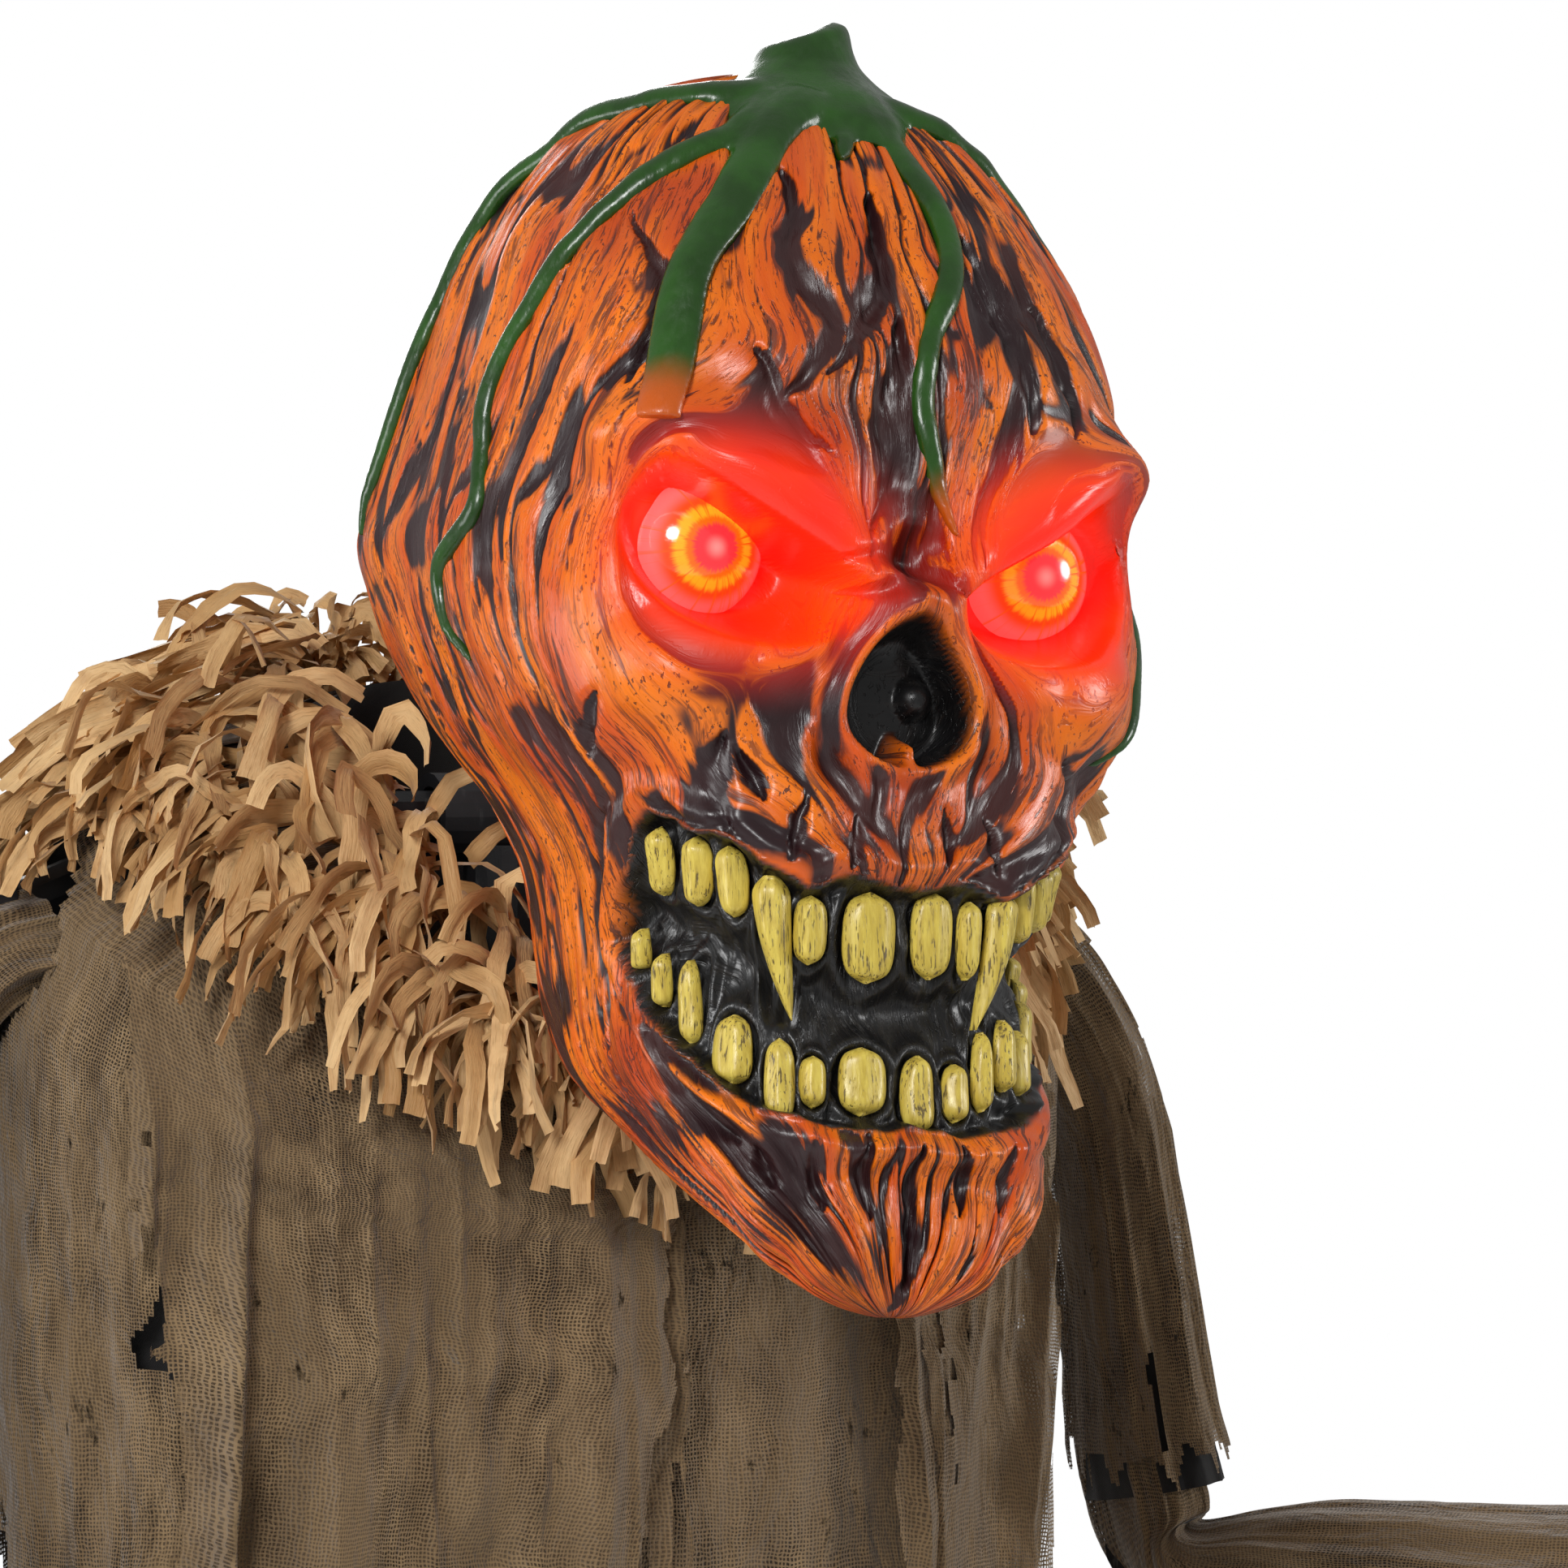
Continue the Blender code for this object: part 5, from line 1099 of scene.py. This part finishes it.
def gauze_look():
    """Loose brown gauze: single threads with gaps between them, thicker and thinner in places."""
    look = Look("torn_brown_gauze", roughness=0.92, Sheen_Weight=0.25, Sheen_Roughness=0.6)
    cloth, place = weave_coordinates(look)
    parts = look.node("SeparateXYZ", {0: place})
    lanes = []
    for axis in ("X", "Y"):
        turn = look.times(parts.outputs[axis], math.tau / GAUZE_PITCH)
        lanes.append(look.ranged(look.math("COSINE", turn), -0.35, 0.75))
    thread = look.most(lanes[0], lanes[1])
    cross = look.times(lanes[0], lanes[1])
    patches = look.grain(cloth, (22, 9, 22), 4.0, 0.6)
    streaks = look.grain(cloth, (62, 24, 62), 4.0, 0.6)
    dense = look.ranged(look.math("ADD", look.times(patches, 0.7), look.times(streaks, 0.3)),
                        0.36, 0.60)
    cover = look.math("ADD", look.times(thread, look.ranged(dense, 0, 1, 0.82, 0.40)),
                      look.ranged(dense, 0, 1, 0.22, 0.95), clamp=True)
    tone = look.mix(look.ranged(streaks, 0.3, 0.7), (0.115, 0.066, 0.025), (0.290, 0.188, 0.088))
    tone = look.mix(look.ranged(patches, 0.40, 0.66), tone, (0.190, 0.118, 0.050))
    # Between the threads the colour is darkened: painted shade.
    dark = look.mix(look.ranged(thread, 0.0, 1.0, 0.35, 1.0), (0.050, 0.027, 0.010), tone)
    # Where the threads cross the colour is lightened: a painted highlight.
    look.set("Base Color", look.mix(look.times(cross, 0.30), dark, (0.30, 0.20, 0.10)))
    worn = look.grain(cloth, (34, 20, 34), 5.0, 0.7, 0.4)
    look.set("Alpha", look.times(cover, look.ranged(worn, 0.30, 0.38)))
    fuzz = look.grain(cloth, (900, 900, 900), 2.0)
    height = look.math("ADD", thread, look.times(fuzz, 0.5))
    crumple = look.grain(cloth, (46, 26, 46), 4.0, 0.6, 0.6)
    crinkle = look.grain(cloth, (190, 120, 190), 3.0, 0.6)
    under = look.bump(crinkle, 0.6, 0.0016, look.bump(crumple, 0.7, 0.008))
    look.set("Normal", look.bump(height, 0.45, 0.0005, under))
    return look.made


def robe_look():
    """Black woven cloth."""
    look = Look("black_woven_cloth", roughness=0.88, Sheen_Weight=0.12, Sheen_Roughness=0.5)
    cloth, place = weave_coordinates(look)
    parts = look.node("SeparateXYZ", {0: place})
    lanes = [look.math("SINE", look.times(parts.outputs[axis], math.tau / 0.0009)) for axis in ("X", "Y")]
    weave = look.times(lanes[0], lanes[1])
    dust = look.grain(cloth, (14, 6, 14), 4.0)
    tone = look.mix(look.ranged(dust, 0.4, 0.7), (0.010, 0.009, 0.009), (0.030, 0.027, 0.024))
    look.set("Base Color", look.mix(look.ranged(weave, -0.6, 0.8, 0.0, 0.5), tone, (0.004, 0.004, 0.004)))
    look.set("Normal", look.bump(weave, 0.4, 0.0003, look.bump(dust, 0.4, 0.004)))
    return look.made


# ---- Raffia ----


# Place from the collar's edge (0) to the neck (1), strip length, height over the clothes and strips.
COLLAR_TIERS = ((0.97, 0.060, 0.019, 290), (0.72, 0.056, 0.015, 280), (0.44, 0.052, 0.010, 280),
                (0.13, 0.050, 0.006, 300))
HEAP_STRIPS, CUFF_STRIPS = 460, 90


class Strands:
    """Many creased paper strips gathered into one piece."""

    def __init__(self):
        self.points, self.faces, self.tones, self.runs = [], [], [], []

    def add(self, path, normals, widths=(0.0055, 0.0100), most_twist=2.4):
        """One strip along a path, of a random width, shade and twist."""
        width, tone = RANDOM.uniform(*widths), RANDOM.uniform(0, 1)
        twist = RANDOM.uniform(-most_twist, most_twist)
        columns = 4
        first = len(self.points)
        ahead = unit(np.gradient(path, axis=0))
        start = RANDOM.uniform(-0.7, 0.7)
        for i, (point, forward, normal) in enumerate(zip(path, ahead, normals)):
            t = i / (len(path) - 1)
            side = unit(np.cross(forward, normal))
            up = np.cross(side, forward)
            roll = start + twist * t
            across = side * math.cos(roll) + up * math.sin(roll)
            rise = up * math.cos(roll) - side * math.sin(roll)
            here = width * (1 - 0.25 * abs(math.sin(3.1 * t + tone * 9)))
            crease = 0.16 * width * math.sin(5 * t + tone * 20)
            for k, c in enumerate((-0.5, -0.18, 0.18, 0.5)):
                lift = (crease, -crease * 0.6, crease * 0.8, -crease * 0.4)[k]
                self.points.append(point + across * (c * here) + rise * lift)
                self.tones.append(tone)
                self.runs.append((c * width, t * 0.1, tone))
        self.faces += grid_faces(len(path), columns, first=first)

    def piece(self, name, look):
        made = new_piece(name, self.points, self.faces, look)
        store(made, "tone", self.tones)
        store(made, "run", self.runs, "FLOAT_VECTOR")
        return made


def collar_low_edge(x, facing):
    """How low the collar's strips may start, at a distance across, in front (-1) or behind (+1)."""
    if facing < 0:
        return np.interp(abs(x - 0.040), (0.0, 0.060, 0.095, 0.130, 0.160),
                         (1.568, 1.600, 1.630, 1.688, 1.702))
    return 1.665


def hang_strip(root, heading, length, guard, clear, steps=10):
    """A path that starts along the shoulder, then falls, and stays outside the clothes."""
    point, ahead = Vector(root), Vector(heading).normalized()
    path, normals = [], []
    for i in range(steps + 1):
        near, normal, _, _ = guard.find_nearest(point)
        gap = (point - near).dot(normal)
        if gap < clear:
            point = point + normal * (clear - gap)
        path.append(np.array(point))
        normals.append(np.array(normal))
        fall = 0.10 + 0.55 * i / steps
        ahead = ahead + Vector((0, 0, -fall)) + Vector(RANDOM.uniform(-0.46, 0.46, 3))
        into = ahead.dot(normal)
        if gap < clear * 1.5 and into < 0:
            ahead -= normal * into
        ahead.normalize()
        point = point + ahead * (length / steps)
    path = np.array(path)
    path[1:-1] = (path[:-2] + 8 * path[1:-1] + path[2:]) / 10
    return path, normals


def add_heap(strands, guard):
    """Strips that stand up round the neck before they fall outwards, leaving room for the neck in front."""
    top = BODY_RINGS[-1]
    for _ in range(HEAP_STRIPS):
        t = RANDOM.uniform(0, math.tau)
        grow = RANDOM.uniform(-0.004, 0.034)
        x, back = (top[2] + grow) * math.cos(t), (top[3] + grow * 0.7) * math.sin(t)
        if abs(x) < 0.040 and back < 0:
            continue
        height = top[0] + top[4] * back * (NAPE_RISE if back > 0 else 1.0) - 0.35 * grow + 0.004
        heading = Vector((0.75 * math.cos(t), 0.75 * math.sin(t), RANDOM.uniform(0.1, 0.95)))
        heading += Vector((-math.sin(t), math.cos(t), 0)) * RANDOM.normal(0, 0.45)
        tall = 1.0 - 0.55 * max(0.0, math.sin(t))
        length = RANDOM.uniform(0.045, 0.085) * tall
        root, clear = (x, top[1] + back, height), RANDOM.uniform(0.010, 0.026)
        strands.add(*hang_strip(root, heading, length, guard, clear))


def make_collar(look):
    """The raffia collar: tiers of strips from the neckline out over the shoulders and down the front."""
    turn, level = np.meshgrid(np.linspace(0, math.tau, 121)[:-1], np.linspace(1.40, 1.702, 60))
    shell = body_points(turn, level, tunic_away(turn, level) + 0.004)
    guard = BVHTree.FromPolygons([Vector(p) for p in shell.reshape(-1, 3)], grid_faces(60, 120, wrap=True))
    top = BODY_RINGS[-1]
    strands = Strands()
    for share, reach, clear, count in COLLAR_TIERS:
        for k in range(count):
            t = math.tau * (k + RANDOM.uniform(-0.4, 0.4)) / count
            mix = np.clip(share + RANDOM.uniform(-0.13, 0.13), 0, 1)
            facing = -1 if math.sin(t) < 0 else 1
            x_edge, y_edge = 0.186 * math.cos(t), -0.016 + 0.112 * math.sin(t)
            x_neck, y_neck = (top[2] - 0.004) * math.cos(t), top[1] + (top[3] - 0.002) * math.sin(t)
            x, y = x_edge + (x_neck - x_edge) * mix, y_edge + (y_neck - y_edge) * mix
            nape = NAPE_RISE if math.sin(t) > 0 else 1.0
            neck_height = top[0] + top[4] * top[3] * math.sin(t) * nape + 0.006
            low = collar_low_edge(x, facing)
            height = low + (neck_height - low) * mix
            start = Vector((x, y, max(height, low)))
            point, normal, _, _ = guard.find_nearest(start)
            root = point + normal * (clear + 0.002)
            outward = Vector((math.cos(t) * 1.15, math.sin(t), -0.25))
            clump = 0.7 * float(noise_line([t * 7 + share * 31], 91)[0])
            sideways = Vector((-math.sin(t), math.cos(t), 0)) * (clump + RANDOM.normal(0, 0.42))
            lift = Vector((0, 0, RANDOM.uniform(-0.1, 0.75) * share))
            length = reach * RANDOM.uniform(0.60, 1.40)
            length = length * np.interp(abs(x - 0.040), (0.08, 0.16), (1.0, 0.78))
            strands.add(*hang_strip(root, outward + sideways + lift, length, guard,
                                    clear * RANDOM.uniform(0.6, 1.3)))
    add_heap(strands, guard)
    collar = strands.piece("raffia_strips", look)
    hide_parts("raffia_collar")
    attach(collar, "stand")


def make_cuffs(look):
    """A ring of raffia strips at each wrist, spread over the back of the hand."""
    for side, sign in SIDES.items():
        elbow = Vector(JOINTS["elbow_" + side]["pos_m"])
        along = Vector((sign, -1, 0)).normalized()
        across = Vector((0, 0, 1)).cross(along).normalized()
        strands = Strands()
        for k in range(CUFF_STRIPS):
            a = math.tau * k / CUFF_STRIPS + RANDOM.uniform(-0.05, 0.05)
            out = across * math.cos(a) + Vector((0, 0, 1)) * math.sin(a)
            start = elbow + along * (0.203 + RANDOM.uniform(-0.006, 0.006)) + out * 0.0115
            length, spread = RANDOM.uniform(0.050, 0.072), RANDOM.uniform(0.30, 0.75)
            path = []
            for i in range(9):
                t = i / 8
                outwards = out * (length * spread * t * (1.25 - 0.5 * t))
                path.append(start + along * (length * t * 0.9) + outwards + Vector((0, 0, -0.012 * t * t)))
            strands.add(np.array([tuple(p) for p in path]), [np.array(out)] * 9, (0.0045, 0.0075), 1.4)
        cuff = strands.piece("raffia_cuff_strips_" + side, look)
        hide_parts("raffia_cuff_" + side)
        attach(cuff, "forearm_" + side)


def raffia_look():
    """Creased tan paper, each strip in a shade of its own."""
    look = Look("creased_paper_raffia", roughness=0.62, Sheen_Weight=0.1)
    tone, run, place = look.attribute("tone"), look.attribute("run", vector=True), look.places()
    lines = look.grain(run, (1400, 90, 40), 3.0, 0.6)
    blotch = look.grain(place, (70, 70, 70), 3.0)
    colour = look.mix(tone, (0.56, 0.315, 0.115), (0.84, 0.555, 0.265))
    colour = look.mix(look.ranged(blotch, 0.45, 0.75, 0.0, 0.6), colour, (0.46, 0.235, 0.080))
    colour = look.mix(look.ranged(lines, 0.50, 0.72, 0.0, 0.55), colour, (0.38, 0.190, 0.065))
    look.set("Base Color", colour)
    look.set("Roughness", look.ranged(lines, 0.3, 0.7, 0.48, 0.75))
    look.set("Normal", look.bump(lines, 0.7, 0.0006, look.bump(blotch, 0.3, 0.003)))
    return look.made


# ---- Hands ----


def tapered(a, b, start_r, end_r, points, faces):
    """A closed round bar with domed ends between two points."""
    a, b = np.array(a), np.array(b)
    ahead = unit(b - a)
    side = unit(np.cross(ahead, np.array((0.31, 0.17, 0.93))))
    other = np.cross(ahead, side)
    first, columns = len(points), 14
    rings = [(a - ahead * start_r * math.cos(q), start_r * math.sin(q)) for q in (0.12, 0.5, 0.9, 1.3)]
    rings += [(a + (b - a) * t, start_r + (end_r - start_r) * t) for t in (0.25, 0.5, 0.75)]
    rings += [(b + ahead * end_r * math.cos(q), end_r * math.sin(q)) for q in (1.3, 0.9, 0.5, 0.12)]
    for centre, radius in rings:
        for k in range(columns):
            t = math.tau * k / columns
            points.append(centre + (side * math.cos(t) + other * math.sin(t)) * radius)
    faces += grid_faces(len(rings), columns, wrap=True, first=first)
    faces.append(tuple(range(first, first + columns))[::-1])
    faces.append(tuple(range(len(points) - columns, len(points))))


def hand_bones(sign):
    """Start, end and radii of each bone of a hand with its palm down, from the wrist."""
    along = np.array((sign, -1, 0)) / math.sqrt(2)
    up = np.array((0, 0, 1.0))
    out = np.cross(up, along) * -sign
    bones = [(along * 0.004, along * 0.032, 0.0150, 0.0145)]
    for k in range(4):
        spread = k - 1.5
        root = along * (0.072 - 0.003 * abs(spread)) + out * (spread * 0.0145) + up * 0.002
        heel = along * 0.028 + out * (spread * 0.0085)
        lean = unit(along + out * (spread * 0.10))
        middle = root + lean * 0.034 + up * 0.002
        tip = middle + lean * 0.022 - up * 0.020
        half = middle + (tip - middle) * 0.55
        bones += [(heel, root, 0.0088, 0.0072), (heel + up * 0.006, root + up * 0.005, 0.0035, 0.0030),
                  (root, root + up * 0.0005, 0.0086, 0.0086), (root, middle, 0.0068, 0.0058),
                  (middle, middle + up * 0.0004, 0.0074, 0.0074), (middle, half, 0.0058, 0.0052),
                  (half, tip, 0.0054, 0.0030)]
    thumb_root = along * 0.030 - out * 0.016
    thumb_middle = along * 0.062 - out * 0.040 - up * 0.006
    thumb_tip = thumb_middle + along * 0.026 - out * 0.004 - up * 0.012
    bones += [(thumb_root, thumb_middle, 0.0092, 0.0068),
              (thumb_middle, thumb_middle + up * 0.0004, 0.0080, 0.0080),
              (thumb_middle, thumb_tip, 0.0066, 0.0034)]
    return bones


def make_hands(look):
    """Bony moulded hands with knuckles, tendons and pointed fingertips."""
    for side, sign in SIDES.items():
        elbow = np.array(JOINTS["elbow_" + side]["pos_m"])
        wrist = elbow + np.array((sign, -1, 0)) / math.sqrt(2) * 0.235
        points, faces = [], []
        for a, b, start_r, end_r in hand_bones(sign):
            tapered(wrist + a, wrist + b, start_r, end_r, points, faces)
        hand = new_piece("moulded_hand_" + side, points, faces, look)
        melt(hand, 0.0014, 5)
        count = len(hand.data.vertices)
        places, outs = np.empty(count * 3, np.float32), np.empty(count * 3, np.float32)
        hand.data.vertices.foreach_get("co", places)
        hand.data.vertices.foreach_get("normal", outs)
        places, outs = places.reshape(-1, 3).astype(float), outs.reshape(-1, 3)
        crease = np.exp(-(noise(places * 260, 201) / 0.16) ** 2)
        places += outs * ((0.35 * noise(places * 140, 203) - 0.55 * crease)[:, None] * MM)
        hand.data.vertices.foreach_set("co", places.astype(np.float32).ravel())
        store(hand, "groove_wash_and_shade", crease)
        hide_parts("hand_" + side)
        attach(hand, "forearm_" + side)


def hand_look():
    """Orange moulding with dark wash streaks, and dark wash and painted shade in its creases."""
    look = Look("orange_hand_with_dark_wash", roughness=0.4, Coat_Weight=0.15, Coat_Roughness=0.25)
    place = look.places()
    streak = look.grain(place, (260, 260, 260), 4.0, 0.65, 0.6)
    broad = look.grain(place, (45, 45, 45), 3.0)
    orange = look.mix(look.ranged(broad, 0.35, 0.65), (0.50, 0.075, 0.004), (0.82, 0.19, 0.006))
    # Dark wash streaks, and the creases darkened with their wash and painted shade.
    dark = look.most(look.ranged(streak, 0.54, 0.62), look.ranged(look.attribute("groove_wash_and_shade"), 0.35, 0.9))
    look.set("Base Color", look.mix(look.times(dark, 0.82), orange, (0.035, 0.011, 0.010)))
    look.set("Roughness", look.ranged(streak, 0.3, 0.7, 0.30, 0.52))
    look.set("Normal", look.bump(look.math("SUBTRACT", streak, dark), 0.5, 0.0008))
    return look.made


# ---- Looks of the pieces that stay as the frame has them ----


def worn_look(name, colour, worn, roughness, metallic=0.0, grain=900, marks=30, **uniform):
    """Moulded or painted hardware: a fine grain, soft dirt and rubbed places in a second colour."""
    look = Look(name, roughness, metallic, **uniform)
    place = look.places()
    fine = look.grain(place, (grain, grain, grain), 3.0)
    dirt = look.grain(place, (marks, marks, marks), 5.0, 0.65)
    scuffs = look.grain(place, (marks * 8, marks * 8, marks * 1.5), 3.0, 0.6, 0.4)
    look.set("Base Color", look.mix(look.times(look.ranged(scuffs, 0.58, 0.68),
                                              look.ranged(dirt, 0.45, 0.65)), colour, worn))
    look.set("Roughness", look.ranged(dirt, 0.3, 0.7, roughness * 0.8, min(1.0, roughness * 1.25)))
    look.set("Normal", look.bump(fine, 0.25, 0.0003, look.bump(scuffs, 0.12, 0.0004)))
    return look.made


def brushed_look(name, colour, roughness):
    """Bright zinc plate with faint brushing and dull spots."""
    look = Look(name, roughness, 1.0)
    place = look.places()
    brush = look.grain(place, (1800, 1800, 120), 3.0)
    spots = look.grain(place, (160, 160, 160), 4.0)
    dull = [part * 0.72 for part in colour]
    look.set("Base Color", look.mix(look.ranged(spots, 0.45, 0.70), colour, dull))
    look.set("Roughness", look.ranged(spots, 0.3, 0.7, roughness * 0.7, roughness * 1.5))
    look.set("Normal", look.bump(brush, 0.2, 0.0002))
    return look.made


def board_look():
    """A green board with copper tracks under its solder mask."""
    look = Look("green_board", 0.35)
    place = look.places()
    tracks = look.cells(look.scaled(place, (240, 240, 240)))
    fine = look.grain(place, (900, 900, 900), 2.0)
    green = look.mix(look.ranged(tracks, 0.05, 0.09), (0.10, 0.30, 0.07), (0.012, 0.10, 0.035))
    look.set("Base Color", green)
    look.set("Normal", look.bump(look.math("ADD", tracks, look.times(fine, 0.1)), 0.3, 0.0003))
    return look.made


def dress_frame():
    """Gives each node that stays its slot's finished material."""
    looks = {
        "frame_steel": worn_look("black_powder_coat", (0.022, 0.022, 0.024), (0.16, 0.155, 0.15), 0.42, 0.3),
        "arm_bar": worn_look("black_coated_bar", (0.024, 0.024, 0.026), (0.20, 0.195, 0.19), 0.40, 0.4),
        "fastener_zinc": brushed_look("zinc_plate", (0.62, 0.62, 0.60), 0.30),
        "black_plastic": worn_look("black_moulding", (0.020, 0.020, 0.022), (0.050, 0.050, 0.052), 0.48,
                                   grain=1400),
        "foot_rubber": worn_look("black_rubber", (0.016, 0.016, 0.016), (0.070, 0.068, 0.064), 0.78,
                                 grain=600),
        "white_nylon": worn_look("natural_nylon", (0.78, 0.77, 0.72), (0.60, 0.58, 0.52), 0.38,
                                 Subsurface_Weight=0.1),
        "circuit_board": board_look(),
        "speaker_steel": worn_look("satin_black_steel", (0.026, 0.026, 0.028), (0.12, 0.12, 0.12), 0.38, 0.5),
        "red_plastic": worn_look("red_moulding", (0.45, 0.018, 0.018), (0.25, 0.012, 0.012), 0.25,
                                 grain=1500),
        "lead_cover": worn_look("red_lead_cover", (0.42, 0.02, 0.02), (0.22, 0.015, 0.015), 0.5, grain=1200),
    }
    for row in frame["record"]["subparts"]:
        if row["material_slot"] in looks:
            for slot in frame["nodes"][row["node"]].material_slots:
                slot.material = looks[row["material_slot"]]


# ---- Camera, light and floor ----

CAMERA_TURN = math.radians(25)     # the camera stands this far round to the figure's right
CAMERA_DISTANCE, CAMERA_LENS, SENSOR = 2.5, 174.7, 36.0
CAMERA_ASIDE, CAMERA_BELOW = 0.0136, 0.0363
FLOOR_R = 4                        # radius of the round floor


def make_camera():
    """The camera at the photograph's angle, level with the head."""
    along = Vector((math.sin(CAMERA_TURN), math.cos(CAMERA_TURN), 0))
    right = Vector((math.cos(CAMERA_TURN), -math.sin(CAMERA_TURN), 0))
    target = HEAD_CENTRE + right * CAMERA_ASIDE - Vector((0, 0, CAMERA_BELOW))
    camera = bpy.data.objects.new("camera", bpy.data.cameras.new("camera"))
    bpy.context.scene.collection.objects.link(camera)
    camera.data.lens, camera.data.sensor_width = CAMERA_LENS, SENSOR
    camera.data.clip_end = 50
    camera.location = target - along * CAMERA_DISTANCE
    camera.rotation_euler = along.to_track_quat("-Z", "Y").to_euler()
    bpy.context.scene.camera = camera


def area_light(name, place, target, size, power):
    """A round soft light that faces a target."""
    light = bpy.data.lights.new(name, "AREA")
    light.shape, light.size, light.energy = "DISK", size, power
    made = bpy.data.objects.new(name, light)
    bpy.context.scene.collection.objects.link(made)
    made.location = place
    made.rotation_euler = (Vector(target) - Vector(place)).to_track_quat("-Z", "Y").to_euler()


def make_stage():
    """A pale floor, a white surround and soft lights in front, at the sides and behind."""
    floor_look = Look("pale_floor", roughness=0.9)
    clouds = floor_look.noise(floor_look.places(), 3.0)
    floor_look.set("Base Color", floor_look.mix(clouds, (0.80, 0.80, 0.80), (0.84, 0.84, 0.84)))
    rim = [(FLOOR_R * math.cos(a), FLOOR_R * math.sin(a), 0) for a in np.linspace(0, math.tau, 65)[:-1]]
    floor = new_piece("floor", rim, [tuple(range(64))], floor_look.made)
    world = bpy.data.worlds.new("white_surround")
    bpy.context.scene.world = world
    world.use_nodes = True
    background = world.node_tree.nodes["Background"]
    background.inputs["Color"].default_value = (1, 1, 1, 1)
    seen = world.node_tree.nodes.new("ShaderNodeLightPath").outputs["Is Camera Ray"]
    share = world.node_tree.nodes.new("ShaderNodeMapRange")
    share.inputs["To Min"].default_value, share.inputs["To Max"].default_value = 0.30, 1.0
    world.node_tree.links.new(seen, share.inputs["Value"])
    world.node_tree.links.new(share.outputs["Result"], background.inputs["Strength"])
    middle = (0, 0, 1.6)
    area_light("key", (-2.2, -2.4, 3.0), middle, 1.1, 60)
    area_light("side_left", (2.4, -1.4, 2.2), middle, 0.9, 24)
    area_light("side_right", (-2.6, 0.2, 1.8), middle, 1.2, 20)
    area_light("back", (0.6, 2.6, 2.6), middle, 1.4, 26)
    view = bpy.context.scene.view_settings
    view.view_transform, view.look, view.exposure, view.gamma = "Standard", "None", 0.0, 1.0


def main():
    """Everything in order: each step draws its random numbers in turn."""
    surface = Surface()
    head_points = make_head(surface, skull_look())
    make_teeth(surface, teeth_look())
    make_eyes(eye_look())
    make_vines(surface, head_points, vine_look())
    gauze, black_cloth, raffia = gauze_look(), robe_look(), raffia_look()
    make_robe(black_cloth)
    make_tunic(gauze)
    for panel in PANELS:
        make_panel(*panel, gauze)
    make_sleeves(gauze, black_cloth)
    make_collar(raffia)
    make_cuffs(raffia)
    make_hands(hand_look())
    dress_frame()
    make_camera()
    make_stage()


main()
